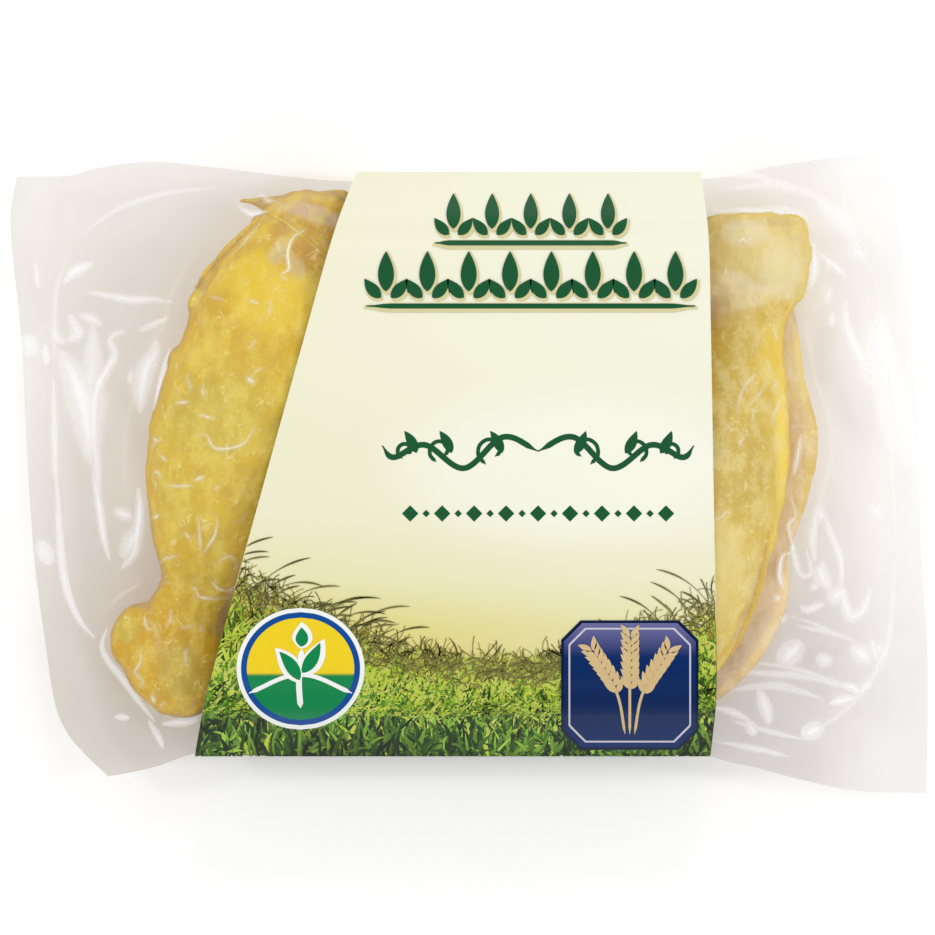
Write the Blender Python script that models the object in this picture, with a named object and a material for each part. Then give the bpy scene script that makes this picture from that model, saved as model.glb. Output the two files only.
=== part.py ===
"""Clear vacuum pack of four raw chicken drumsticks, held in a printed card sleeve.

The pack lies on its back with the printed side up: +X is to the reader's right, +Y is the
top of the print and +Z points up. The origin is under the middle of the pack, on the table.
Two closed solids are made: the pouch, which is the clear film drawn tight over its contents
with the flat web and seal around them, and the card sleeve folded round its middle.
"""

import math

import bmesh
import bpy
import numpy as np

MM = 0.001
SHARP_DEGREES = 40.0
FAR_OFF = 1e3
STEPS_BETWEEN_POINTS = 24

# Pouch film, in millimetres
WEB_HEIGHT = 18.0
WEB_THICKNESS = 0.9
PACK_HALF_LENGTH = 118.6
PACK_HALF_WIDTH = 82.5
LOWEST_FILM = 1.3
FILM_FILLET = 7.0
GRID_ALONG = 52
GRID_ACROSS = 36
DRAPE_STEP = 2.0
DRAPE_MARGIN = 2.0
DRAPE_ROUNDS = 260

# The flange hangs lower away from the sleeve, and waves a little along its rim.
STIFF_HALF_LENGTH = 66.0
SLEEVE_MIDDLE_X = -4.0
DROOP = 6.5
DROOP_REACH = 48.0
RIM_WAVE = 1.1
RIM_WAVE_LENGTH = 62.0

# Outline of the flange, one list of points for each side, in millimetres
LOWER_RIGHT = (117.9, -82.4)
TOP_SIDE = [
    (-117.1, 77.0), (-103.5, 77.0), (-95.7, 78.9), (-81.7, 80.3), (-65.0, 78.7),
    (-45.0, 76.3), (-30.0, 75.2), (12.0, 75.0), (58.0, 75.6), (78.7, 79.3),
    (100.8, PACK_HALF_WIDTH), (106.4, 80.6),
]
RIGHT_SIDE = [
    LOWER_RIGHT, (PACK_HALF_LENGTH, -62.0), (118.2, -44.3),
    (116.6, -20.7), (116.0, 10.6), (113.0, 46.8), (109.6, 74.0), (106.4, 80.6),
]
BOTTOM_SIDE = [
    (-93.0, -77.6), (-86.6, -76.4), (-79.4, -74.6), (-70.0, -71.4), (-5.0, -71.0),
    (58.0, -71.2), (66.0, -73.6), (74.0, -75.4), (85.8, -78.6), (100.5, -81.6),
    LOWER_RIGHT,
]
LEFT_SIDE = [
    (-93.0, -77.6), (-98.9, -72.0), (-103.6, -66.6), (-106.9, -58.9), (-109.5, -44.3),
    (-112.3, -24.2), (-113.8, -1.4), (-116.1, 35.8), (-PACK_HALF_LENGTH, 64.4), (-117.1, 77.0),
]

# A drumstick is a row of ellipsoids from its knuckle to its thick end, each given as
# x, y, radius across, height of its middle and half its thickness, in millimetres.
KNUCKLE_DOWN = [
    (-82.8, -42.5, 10.0, 17.0, 9.5),
    (-73.3, -50.7, 12.1, 17.5, 12.0),
    (-73.0, -37.8, 10.8, 17.5, 11.0),
    (-67.9, -26.6, 11.3, 18.0, 11.0),
    (-62.7, -9.6, 19.5, 20.0, 16.5),
    (-57.1, 8.9, 24.9, 21.6, 20.0),
    (-49.9, 28.1, 27.5, 21.9, 20.6),
    (-44.8, 40.9, 26.4, 21.5, 20.0),
    (-40.7, 55.8, 17.0, 20.0, 13.5),
]
KNUCKLE_UP = [
    (64.5, 53.5, 13.3, 17.5, 12.0),
    (74.5, 54.5, 12.6, 17.5, 11.5),
    (71.2, 43.5, 11.5, 17.5, 11.2),
    (68.6, 33.2, 12.0, 18.0, 11.3),
    (64.5, 19.1, 17.0, 20.0, 15.5),
    (58.9, 2.4, 22.6, 21.5, 19.5),
    (52.2, -14.2, 25.9, 21.9, 20.6),
    (46.6, -29.6, 26.4, 21.6, 20.0),
    (43.5, -43.8, 17.4, 20.0, 13.5),
]
LOOSE_FLESH = [
    (80.5, 22.0, 5.6, 14.5, 5.0),
    (83.2, 7.6, 7.0, 13.5, 6.2),
    (78.9, -9.1, 6.2, 13.5, 6.0),
    (76.3, -27.1, 6.7, 13.0, 6.0),
    (67.9, -44.5, 5.6, 13.5, 5.0),
]
SECOND_FROM_FOURTH = -79.5
THIRD_FROM_FIRST = 77.7
SAMPLES_PER_SPAN = 9

# Card sleeve, in millimetres
CARD = 0.45
CREST = 43.6
FOLD_HEIGHT = 18.0
TOP_FOLD_Y = 78.7
BOTTOM_FOLD_Y = -72.9
CREST_FROM_Y = -55.0
CREST_TO_Y = 60.0
FOOT_FROM_Y = -57.0
FOOT_TO_Y = 62.0
LAP_FROM_Y = -8.0
LAP_TO_Y = 12.0
LEFT_EDGE_AT_TOP = -29.0
LEFT_EDGE_AT_BOTTOM = -70.7
RIGHT_EDGE_AT_TOP = 59.1
RIGHT_EDGE_AT_BOTTOM = 61.7
CREST_ROUNDING = 18.0
FOLD_ROUNDING = 2.0
FOOT_ROUNDING = 14.0
STEPS_PER_BEND = 7
SIDE_INSET = 1.5

# Colours, with roughness
FILM_LOOK = ((0.86, 0.68, 0.30), 0.15)
CARD_LOOK = ((0.90, 0.89, 0.66), 0.45)


def clear_scene():
    """Removes every object the scene starts with."""
    for thing in list(bpy.data.objects):
        bpy.data.objects.remove(thing)


def material(name, look):
    """A plain finish with the given colour and roughness."""
    colour, roughness = look
    made = bpy.data.materials.new(name)
    made.use_nodes = True
    shader = made.node_tree.nodes["Principled BSDF"]
    shader.inputs["Base Color"].default_value = (*colour, 1.0)
    shader.inputs["Roughness"].default_value = roughness
    shader.inputs["Metallic"].default_value = 0.0
    return made


def object_from(name, mesh_data, look):
    """Turns a shape in millimetres into a named object in metres."""
    bmesh.ops.recalc_face_normals(mesh_data, faces=mesh_data.faces)
    bmesh.ops.scale(mesh_data, vec=(MM, MM, MM), verts=mesh_data.verts)
    mesh = bpy.data.meshes.new(name)
    mesh_data.to_mesh(mesh)
    mesh_data.free()
    mesh.shade_smooth()
    mesh.set_sharp_from_angle(angle=math.radians(SHARP_DEGREES))
    mesh.materials.append(material(name, look))
    made = bpy.data.objects.new(name, mesh)
    bpy.context.scene.collection.objects.link(made)
    return made


def smooth_through(points, count):
    """Points evenly spaced along a smooth curve through the given ones."""
    given = np.array(points, float)
    padded = np.vstack([2 * given[0] - given[1], given, 2 * given[-1] - given[-2]])
    fine = []
    for i in range(1, len(padded) - 2):
        before, start, end, after = padded[i - 1 : i + 3]
        for t in np.linspace(0, 1, STEPS_BETWEEN_POINTS, endpoint=False):
            fine.append(
                0.5
                * (
                    2 * start
                    + (end - before) * t
                    + (2 * before - 5 * start + 4 * end - after) * t**2
                    + (3 * start - before - 3 * end + after) * t**3
                )
            )
    fine = np.array([*fine, given[-1]])
    run = np.concatenate([[0], np.cumsum(np.linalg.norm(np.diff(fine, axis=0), axis=1))])
    at = np.linspace(0, run[-1], count)
    return np.stack([np.interp(at, run, fine[:, k]) for k in range(given.shape[1])], axis=1)


def flange_grid():
    """Grid of x, y places that fills the outline, by blending its four sides."""
    u = np.linspace(0, 1, GRID_ALONG)[:, None, None]
    v = np.linspace(0, 1, GRID_ACROSS)[None, :, None]
    bottom = smooth_through(BOTTOM_SIDE, GRID_ALONG)[:, None, :]
    top = smooth_through(TOP_SIDE, GRID_ALONG)[:, None, :]
    left = smooth_through(LEFT_SIDE, GRID_ACROSS)[None, :, :]
    right = smooth_through(RIGHT_SIDE, GRID_ACROSS)[None, :, :]
    corners = (
        (1 - u) * (1 - v) * bottom[0, 0]
        + u * (1 - v) * bottom[-1, 0]
        + (1 - u) * v * top[0, 0]
        + u * v * top[-1, 0]
    )
    return (1 - v) * bottom + v * top + (1 - u) * left + u * right - corners


def web_height(x, y):
    """Height of the flat film between and around the contents."""
    outside = np.abs(x - SLEEVE_MIDDLE_X) - STIFF_HALF_LENGTH
    share = np.clip(outside / DROOP_REACH, 0, 1)
    wave = RIM_WAVE * np.sin(2 * math.pi * (y + 0.4 * x) / RIM_WAVE_LENGTH)
    return WEB_HEIGHT - DROOP * share**1.5 + wave * share


def shifted(stations, along_x):
    """The same row of ellipsoids, moved along X."""
    return [(x + along_x, *rest) for x, *rest in stations]


def contents():
    """Every piece of meat in the pack, as rows of ellipsoids close enough to look smooth."""
    rows = [
        KNUCKLE_DOWN,
        shifted(KNUCKLE_UP, SECOND_FROM_FOURTH),
        shifted(KNUCKLE_DOWN, THIRD_FROM_FIRST),
        KNUCKLE_UP,
        LOOSE_FLESH,
    ]
    return np.vstack([smooth_through(row, SAMPLES_PER_SPAN * (len(row) - 1)) for row in rows])


def meat_surface(x, y, side):
    """Height of the contents' upper (side 1) or lower (side -1) surface, far off where bare."""
    found = np.full(x.shape, -FAR_OFF)
    for cx, cy, radius, middle, half in contents():
        inside = 1 - ((x - cx) ** 2 + (y - cy) ** 2) / radius**2
        rise = side * middle + half * np.sqrt(np.clip(inside, 0, None))
        found = np.maximum(found, np.where(inside > 0, rise, -FAR_OFF))
    return side * found


def draped(side):
    """Film drawn against the contents by the vacuum: x places, y places and heights on a grid."""
    far_x, far_y = PACK_HALF_LENGTH + DRAPE_MARGIN, PACK_HALF_WIDTH + DRAPE_MARGIN
    xs = np.arange(-far_x, far_x + DRAPE_STEP, DRAPE_STEP)
    ys = np.arange(-far_y, far_y + DRAPE_STEP, DRAPE_STEP)
    x, y = np.meshgrid(xs, ys, indexing="ij")
    rest = side * web_height(x, y) + WEB_THICKNESS / 2
    held = np.maximum(rest, side * meat_surface(x, y, side))
    film = held.copy()
    pull = DRAPE_STEP**2 / FILM_FILLET / 2
    for _ in range(DRAPE_ROUNDS):
        around = film[:-2, 1:-1] + film[2:, 1:-1] + film[1:-1, :-2] + film[1:-1, 2:]
        film[1:-1, 1:-1] = np.maximum(held[1:-1, 1:-1], around / 4 - pull)
    return xs, ys, side * film


def sampled(places, xs, ys, heights):
    """Heights read between the points of a regular grid."""
    i = np.clip((places[..., 0] - xs[0]) / DRAPE_STEP, 0, len(xs) - 1.001)
    j = np.clip((places[..., 1] - ys[0]) / DRAPE_STEP, 0, len(ys) - 1.001)
    i0, j0 = i.astype(int), j.astype(int)
    fi, fj = i - i0, j - j0
    return (
        heights[i0, j0] * (1 - fi) * (1 - fj)
        + heights[i0 + 1, j0] * fi * (1 - fj)
        + heights[i0, j0 + 1] * (1 - fi) * fj
        + heights[i0 + 1, j0 + 1] * fi * fj
    )


def film_sheet(mesh_data, places, heights):
    """Adds one sheet of film to the mesh and gives back the edges of its rim."""
    made = bmesh.ops.create_grid(
        mesh_data, x_segments=GRID_ALONG - 1, y_segments=GRID_ACROSS - 1, size=1.0
    )
    verts = sorted(made["verts"], key=lambda v: (round(v.co.x, 5), round(v.co.y, 5)))
    for vert, place, height in zip(verts, places.reshape(-1, 2), heights.reshape(-1)):
        vert.co = (*place, height)
    return [e for e in {e for v in verts for e in v.link_edges} if e.is_boundary]


def build_pouch():
    """The sealed clear pouch with its contents, one closed solid."""
    places = flange_grid()
    upper = sampled(places, *draped(1))
    lower = np.maximum(sampled(places, *draped(-1)), LOWEST_FILM)
    mesh_data = bmesh.new()
    rims = film_sheet(mesh_data, places, upper) + film_sheet(mesh_data, places, lower)
    bmesh.ops.bridge_loops(mesh_data, edges=rims)
    bmesh.ops.triangulate(mesh_data, faces=mesh_data.faces)
    return object_from("pouch", mesh_data, FILM_LOOK)


def rounded_corner(before, corner, after, radius):
    """Points of an arc that replaces a corner of a polygon."""
    before, corner, after = (np.array(p, float) for p in (before, corner, after))
    back = (before - corner) / np.linalg.norm(before - corner)
    ahead = (after - corner) / np.linalg.norm(after - corner)
    half_angle = math.acos(float(np.clip(back @ ahead, -1, 1))) / 2
    bisector = (back + ahead) / np.linalg.norm(back + ahead)
    middle = corner + bisector * radius / math.sin(half_angle)
    start = corner + back * radius / math.tan(half_angle)
    end = corner + ahead * radius / math.tan(half_angle)
    a0 = math.atan2(start[1] - middle[1], start[0] - middle[0])
    a1 = math.atan2(end[1] - middle[1], end[0] - middle[0])
    sweep = (a1 - a0 + math.pi) % (2 * math.pi) - math.pi
    angles = a0 + sweep * np.linspace(0, 1, STEPS_PER_BEND)
    return [(middle[0] + radius * math.cos(a), middle[1] + radius * math.sin(a)) for a in angles]


def sleeve_profile(inset):
    """Cross-section of the sleeve in Y and Z, taken in from its outer face by inset."""
    foot = inset
    near_lap, far_lap = 4, 5
    corners = [
        (BOTTOM_FOLD_Y + inset * SIDE_INSET, FOLD_HEIGHT, FOLD_ROUNDING - inset),
        (CREST_FROM_Y, CREST - inset, CREST_ROUNDING - inset),
        (CREST_TO_Y, CREST - inset, CREST_ROUNDING - inset),
        (TOP_FOLD_Y - inset * SIDE_INSET, FOLD_HEIGHT, FOLD_ROUNDING - inset),
        (FOOT_TO_Y, foot + CARD, FOOT_ROUNDING + inset),
        (FOOT_FROM_Y, foot, FOOT_ROUNDING + inset),
    ]
    points = []
    for n, (y, z, radius) in enumerate(corners):
        before = corners[n - 1][:2]
        after = corners[(n + 1) % len(corners)][:2]
        if n == near_lap:
            after = (LAP_TO_Y, foot + CARD)
        if n == far_lap:
            before = (LAP_FROM_Y, foot)
            step_y = LAP_TO_Y if inset == 0 else LAP_FROM_Y
            points += [(step_y, foot + CARD), (step_y - CARD / 2, foot)]
        points += rounded_corner(before, (y, z), after, radius)
    return points


def edge_x(y, at_top, at_bottom):
    """Where a slanting side edge of the sleeve crosses height y of the print."""
    share = (y - BOTTOM_FOLD_Y) / (TOP_FOLD_Y - BOTTOM_FOLD_Y)
    return at_bottom + (at_top - at_bottom) * share


def build_sleeve():
    """The card sleeve: a ring of card folded round the pouch, with a glued lap underneath."""
    mesh_data = bmesh.new()
    loops = []
    for inset in (0.0, CARD):
        verts = [mesh_data.verts.new((0.0, y, z)) for y, z in sleeve_profile(inset)]
        loops.append(
            [mesh_data.edges.new((a, b)) for a, b in zip(verts, verts[1:] + verts[:1])]
        )
    bmesh.ops.bridge_loops(mesh_data, edges=loops[0] + loops[1])
    left = list(mesh_data.verts)
    raised = bmesh.ops.extrude_face_region(
        mesh_data, geom=list(mesh_data.faces), use_keep_orig=True
    )
    right = [g for g in raised["geom"] if isinstance(g, bmesh.types.BMVert)]
    for vert in left:
        vert.co.x = edge_x(vert.co.y, LEFT_EDGE_AT_TOP, LEFT_EDGE_AT_BOTTOM)
    for vert in right:
        vert.co.x = edge_x(vert.co.y, RIGHT_EDGE_AT_TOP, RIGHT_EDGE_AT_BOTTOM)
    bmesh.ops.triangulate(mesh_data, faces=mesh_data.faces)
    return object_from("sleeve", mesh_data, CARD_LOOK)


def main():
    clear_scene()
    build_pouch()
    build_sleeve()


main()
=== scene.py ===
"""Looks of a clear vacuum pack of raw chicken drumsticks in a printed card sleeve.

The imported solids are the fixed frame. The pouch solid is replaced by the drumsticks, the loose
skin beside one of them and the two sheets of clear film drawn over them. The sleeve solid is
replaced by a finer card band, which carries the print. +X runs to the reader's right, +Y to the
top of the print and +Z up. Sizes are in millimetres, and meshes are made in metres.
"""

import logging
import math
from dataclasses import dataclass, field
from enum import Enum
from typing import Any, ClassVar, Sequence

import bpy
import numpy as np
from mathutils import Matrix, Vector, noise
from mathutils.bvhtree import BVHTree

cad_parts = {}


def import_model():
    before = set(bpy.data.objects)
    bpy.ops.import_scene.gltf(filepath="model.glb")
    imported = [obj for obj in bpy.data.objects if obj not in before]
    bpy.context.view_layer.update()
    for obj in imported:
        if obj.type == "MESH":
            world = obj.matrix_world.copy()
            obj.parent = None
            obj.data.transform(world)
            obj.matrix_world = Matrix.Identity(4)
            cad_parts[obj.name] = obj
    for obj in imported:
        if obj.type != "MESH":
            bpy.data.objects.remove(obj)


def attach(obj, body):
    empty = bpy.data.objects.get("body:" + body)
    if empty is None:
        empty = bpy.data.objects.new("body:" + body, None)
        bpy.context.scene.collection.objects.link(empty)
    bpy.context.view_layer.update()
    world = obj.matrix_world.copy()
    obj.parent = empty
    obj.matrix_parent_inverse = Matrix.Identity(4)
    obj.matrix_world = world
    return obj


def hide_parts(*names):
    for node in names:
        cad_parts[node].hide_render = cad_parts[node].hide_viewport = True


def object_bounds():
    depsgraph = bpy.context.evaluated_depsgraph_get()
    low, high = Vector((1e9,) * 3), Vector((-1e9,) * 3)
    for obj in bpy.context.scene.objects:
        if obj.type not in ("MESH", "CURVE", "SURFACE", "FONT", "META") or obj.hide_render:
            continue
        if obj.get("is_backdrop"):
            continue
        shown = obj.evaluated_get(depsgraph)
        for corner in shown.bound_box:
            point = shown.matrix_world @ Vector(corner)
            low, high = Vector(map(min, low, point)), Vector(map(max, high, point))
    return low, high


Rgb = tuple[float, float, float]
Spot = tuple[float, float]
Piece = bpy.types.Object
Socket = bpy.types.NodeSocket

MM = 0.001
FAR_OFF = 0.1
LOG = logging.getLogger("pack")
BODY = "root"

# The camera looks straight down on the pack, level with the middle of the picture
CAMERA_X = -0.6
CAMERA_Y = 1.8
CAMERA_RISE = 800.0
FLANGE_HEIGHT = 18.0
PICTURE_WIDTH = 239.8
SENSOR_WIDTH = 36.0


# Modelling helpers


def start_fresh() -> None:
    """Leaves edit mode and unselects everything, before a primitive is added."""
    if bpy.context.object is not None and bpy.context.object.mode != "OBJECT":
        edit(False)
    bpy.ops.object.select_all(action="DESELECT")


def named(name: str) -> Piece:
    """Gives the primitive that was just added its name."""
    piece = bpy.context.object
    piece.name = name
    piece.data.name = name
    return piece


def pick(piece: Piece) -> None:
    """Selects one piece alone and makes it the active one."""
    start_fresh()
    piece.select_set(True)
    bpy.context.view_layer.objects.active = piece


def settle(piece: Piece) -> None:
    """Moves a piece's place, turn and scale into its mesh."""
    pick(piece)
    bpy.ops.object.transform_apply(location=True, rotation=True, scale=True)


def modified(piece: Piece, kind: str, **settings: Any) -> None:
    """Adds a modifier to a piece and applies it.

    Args:
        piece: the piece to change.
        kind: Blender's name for the modifier's type.
        **settings: the modifier's own values.
    """
    pick(piece)
    modifier = piece.modifiers.new(kind.title(), kind)
    for key, value in settings.items():
        setattr(modifier, key, value)
    bpy.ops.object.modifier_apply(modifier=modifier.name)


def joined(pieces: Sequence[Piece], name: str) -> Piece:
    """Joins several pieces into one.

    Args:
        pieces: the pieces, of which the first one stays.
        name: the name of the joined piece.

    Returns:
        The joined piece.
    """
    pick(pieces[0])
    for piece in pieces:
        piece.select_set(True)
    bpy.ops.object.join()
    return named(name)


def even_curve(points: Sequence[Sequence[float]], count: int) -> np.ndarray:
    """Reads a smooth curve through some points at even steps.

    Args:
        points: the points, each with any number of values.
        count: how many steps to read.

    Returns:
        One row for each step.
    """
    given = np.array(points, float)
    padded = np.vstack([2 * given[0] - given[1], given, 2 * given[-1] - given[-2]])
    t = np.linspace(0, 1, 24, endpoint=False)[:, None]
    fine = []
    for i in range(1, len(padded) - 2):
        before, start, end, after = padded[i - 1 : i + 3]
        fine.append(
            0.5
            * (
                2 * start
                + (end - before) * t
                + (2 * before - 5 * start + 4 * end - after) * t**2
                + (3 * start - before - 3 * end + after) * t**3
            )
        )
    fine = np.vstack([*fine, given[-1:]])
    run = np.concatenate([[0], np.cumsum(np.linalg.norm(np.diff(fine[:, :2], axis=0), axis=1))])
    at = np.linspace(0, run[-1], count)
    return np.stack([np.interp(at, run, fine[:, k]) for k in range(given.shape[1])], axis=1)


def mesh_points(piece: Piece) -> np.ndarray:
    """Reads the places of a piece's vertices, in millimetres."""
    places = np.empty(len(piece.data.vertices) * 3)
    piece.data.vertices.foreach_get("co", places)
    return places.reshape(-1, 3) / MM


def set_mesh_points(piece: Piece, places: np.ndarray) -> None:
    """Moves a piece's vertices to the given places, in millimetres."""
    piece.data.vertices.foreach_set("co", (places * MM).ravel())
    piece.data.update()


def shade_smooth(piece: Piece, angle: float = 180.0) -> None:
    """Shades a piece smooth, but for edges sharper than an angle in degrees."""
    pick(piece)
    bpy.ops.object.shade_smooth_by_angle(angle=math.radians(angle))


def edit(on: bool) -> None:
    """Goes into edit mode, or back out of it."""
    bpy.ops.object.mode_set(mode="EDIT" if on else "OBJECT")


def dress(piece: Piece, *materials: bpy.types.Material) -> None:
    """Gives a piece its materials, in place of any that it has."""
    piece.data.materials.clear()
    for material in materials:
        piece.data.materials.append(material)


def tree_of(pieces: Sequence[Piece]) -> BVHTree:
    """Gathers the faces of some pieces for ray casting."""
    places: list[Vector] = []
    faces: list[tuple[int, ...]] = []
    for piece in pieces:
        first = len(places)
        places += [v.co.copy() for v in piece.data.vertices]
        faces += [tuple(first + i for i in p.vertices) for p in piece.data.polygons]
    return BVHTree.FromPolygons(places, faces)


def height_at(faces: BVHTree, x: float, y: float, way: int = -1) -> float | None:
    """Finds how high some faces are at a place, looking down, or up where way is 1."""
    hit = faces.ray_cast(Vector((x * MM, y * MM, -FAR_OFF * way)), Vector((0, 0, way)))[0]
    return None if hit is None else hit.z / MM


def hand_over(piece: Piece, slot: str, *nodes: str) -> None:
    """Makes a finished piece ride on the pack, and hides the solids it stands for.

    Args:
        piece: the finished piece.
        slot: the record's material slot; not used.
        *nodes: the solids that it stands for.
    """
    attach(piece, BODY)
    if nodes:
        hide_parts(*nodes)
    LOG.info("%s: %d faces", piece.name, len(piece.data.polygons))


# Material helpers


class Graph:
    """Adds and wires the nodes of one material or node group."""

    def __init__(self, tree: bpy.types.NodeTree) -> None:
        """Keeps the tree that is worked on."""
        self.tree = tree

    def feed(self, socket: Socket, value: Any) -> None:
        """Links a socket, or sets its value; a colour of three numbers gets full alpha.

        Args:
            socket: the input socket.
            value: another node's output, or a plain value.
        """
        if isinstance(value, bpy.types.NodeSocket):
            self.tree.links.new(value, socket)
        elif socket.type == "RGBA" and len(value) == 3:
            socket.default_value = (*value, 1.0)
        else:
            socket.default_value = value

    def add(self, kind: str, inputs: dict | None = None, **settings: Any) -> bpy.types.Node:
        """Adds a node.

        Args:
            kind: the node's type.
            inputs: its input sockets' values or links, by name or number.
            **settings: its own properties.

        Returns:
            The new node.
        """
        node = self.tree.nodes.new(kind)
        for key, value in settings.items():
            setattr(node, key, value)
        for key, value in (inputs or {}).items():
            self.feed(node.inputs[key], value)
        return node

    def mix(self, share: Any, first: Any, second: Any, mode: str = "MIX") -> Socket:
        """Mixes two colours and gives back the colour."""
        inputs = {0: share, 6: first, 7: second}
        return self.add("ShaderNodeMix", inputs, data_type="RGBA", blend_type=mode).outputs[2]

    def maths(self, operation: str, first: Any, second: Any = 0.0) -> Socket:
        """Works out one number from two and gives it back, kept as it is."""
        return self.add("ShaderNodeMath", {0: first, 1: second}, operation=operation).outputs[0]

    def times(self, first: Any, second: Any) -> Socket:
        """Multiplies two numbers."""
        return self.maths("MULTIPLY", first, second)

    def minus(self, first: Any, second: Any) -> Socket:
        """Takes the second number from the first."""
        return self.maths("SUBTRACT", first, second)

    def ease(self, value: Any, low: float, high: float) -> Socket:
        """Turns a number into a mask that is 0 below low, 1 above high and smooth between."""
        inputs = {"Value": value, "From Min": low, "From Max": high}
        node = self.add("ShaderNodeMapRange", inputs, interpolation_type="SMOOTHSTEP")
        return node.outputs["Result"]

    def between(self, share: Any, low: Any, high: Any) -> Socket:
        """Gives a number that goes from low to high with a share from 0 to 1."""
        inputs = {0: share, 2: low, 3: high}
        return self.add("ShaderNodeMix", inputs, data_type="FLOAT").outputs[0]

    def scaled(self, share: Any, low: float, high: float) -> Socket:
        """Gives a number that goes from low to high with a share, between plain values."""
        inputs = {"Value": share, "To Min": low, "To Max": high}
        return self.add("ShaderNodeMapRange", inputs).outputs["Result"]

    def noise(self, place: Any, scale: float, detail: float = 2.0, twist: float = 0.0) -> Socket:
        """Adds soft noise and gives back its strength."""
        inputs = {"Vector": place, "Scale": scale, "Detail": detail, "Distortion": twist}
        return self.add("ShaderNodeTexNoise", inputs).outputs["Fac"]

    def vector(self, operation: str, first: Any, second: Any) -> Socket:
        """Works out one vector from two."""
        inputs = {0: first, 1: second}
        return self.add("ShaderNodeVectorMath", inputs, operation=operation).outputs[0]

    def split(self, place: Any) -> Any:
        """Takes a place or direction apart into X, Y and Z."""
        return self.add("ShaderNodeSeparateXYZ", {0: place}).outputs

    def stretched(self, place: Any, scale: Sequence[float], turn: float = 0.0) -> Socket:
        """Stretches a place, and turns it round Z, so that a pattern is drawn out."""
        inputs = {"Vector": place, "Rotation": (0.0, 0.0, turn), "Scale": scale}
        return self.add("ShaderNodeMapping", inputs).outputs[0]

    def rough(self, shader: bpy.types.Node, height: Any, strength: float, distance: float) -> None:
        """Bumps a shader's surface by a height."""
        inputs = {"Height": height, "Strength": strength, "Distance": distance}
        bump = self.add("ShaderNodeBump", inputs)
        self.feed(shader.inputs["Normal"], bump.outputs["Normal"])

    def place(self) -> Socket:
        """Gives back the place on the piece, in metres, which is the pack's own frame."""
        return self.add("ShaderNodeTexCoord").outputs["Object"]

    def group(self, tree: bpy.types.NodeTree, inputs: dict) -> bpy.types.Node:
        """Places a shared effect with its own values."""
        return self.add("ShaderNodeGroup", inputs, node_tree=tree)


def new_material(name: str, **plain: Any) -> tuple[bpy.types.Material, Graph, bpy.types.Node]:
    """Makes a material with one Principled shader.

    Args:
        name: the material's name.
        **plain: the shader's uniform values; an underscore stands for a space.

    Returns:
        The material, its graph and its shader.
    """
    made = bpy.data.materials.new(name)
    made.use_nodes = True
    graph = Graph(made.node_tree)
    shader = made.node_tree.nodes["Principled BSDF"]
    for key, value in plain.items():
        graph.feed(shader.inputs[key.replace("_", " ").title().replace("Ior", "IOR")], value)
    return made, graph, shader


def new_group(
    name: str, takes: dict[str, str], gives: dict[str, str]
) -> tuple[Graph, bpy.types.Node, bpy.types.Node]:
    """Makes an empty node group with named sockets.

    Args:
        name: the group's name.
        takes: its inputs, name to kind: Float, Vector or Color.
        gives: its outputs, in the same form.

    Returns:
        Its graph, its input node and its output node.
    """
    tree = bpy.data.node_groups.new(name, "ShaderNodeTree")
    for sockets, way in ((takes, "INPUT"), (gives, "OUTPUT")):
        for key, kind in sockets.items():
            tree.interface.new_socket(key, in_out=way, socket_type=f"NodeSocket{kind}")
    graph = Graph(tree)
    return graph, graph.add("NodeGroupInput"), graph.add("NodeGroupOutput")


# Where a patch begins and is full, against its reach
PATCH_FADE = (1.25, 0.55)

# The mottling of the skin and its painted glints: the pull on its pattern, and the scale of each
# layer
SKIN_PULL = (1.0, 0.62, 0.8)
SKIN_TURN = 0.2
BLOTCH_SCALE = 260.0
FLECK_SCALE = 1100.0
BLOTCH_SHARE = 0.72
BROAD_SCALE = 75.0
BLUSH_SCALE = 150.0
GLINT_STROKE_SCALE = 210.0
GLINT_BREAK_SCALE = 240.0


def patch_group() -> bpy.types.NodeTree:
    """Shared effect: a soft oval patch at a place, with a ragged edge.

    Returns:
        The group, which gives a mask.
    """
    takes = {key: "Vector" for key in ("Place", "Centre", "Reach")}
    takes |= {key: "Float" for key in ("Turn", "Ragged", "Raggedness")}
    graph, source, sink = new_group("soft_patch", takes, {"Mask": "Float"})
    given = source.outputs
    away = graph.vector("SUBTRACT", given["Place"], given["Centre"])
    inputs = {"Vector": away, "Angle": given["Turn"]}
    turned = graph.add("ShaderNodeVectorRotate", inputs, rotation_type="Z_AXIS").outputs[0]
    scaled = graph.vector("DIVIDE", turned, given["Reach"])
    far = graph.add("ShaderNodeVectorMath", {0: scaled}, operation="LENGTH").outputs["Value"]
    ragged = graph.times(given["Ragged"], given["Raggedness"])
    edge = graph.maths("ADD", far, ragged)
    graph.feed(sink.inputs["Mask"], graph.ease(edge, *PATCH_FADE))
    return graph.tree


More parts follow.
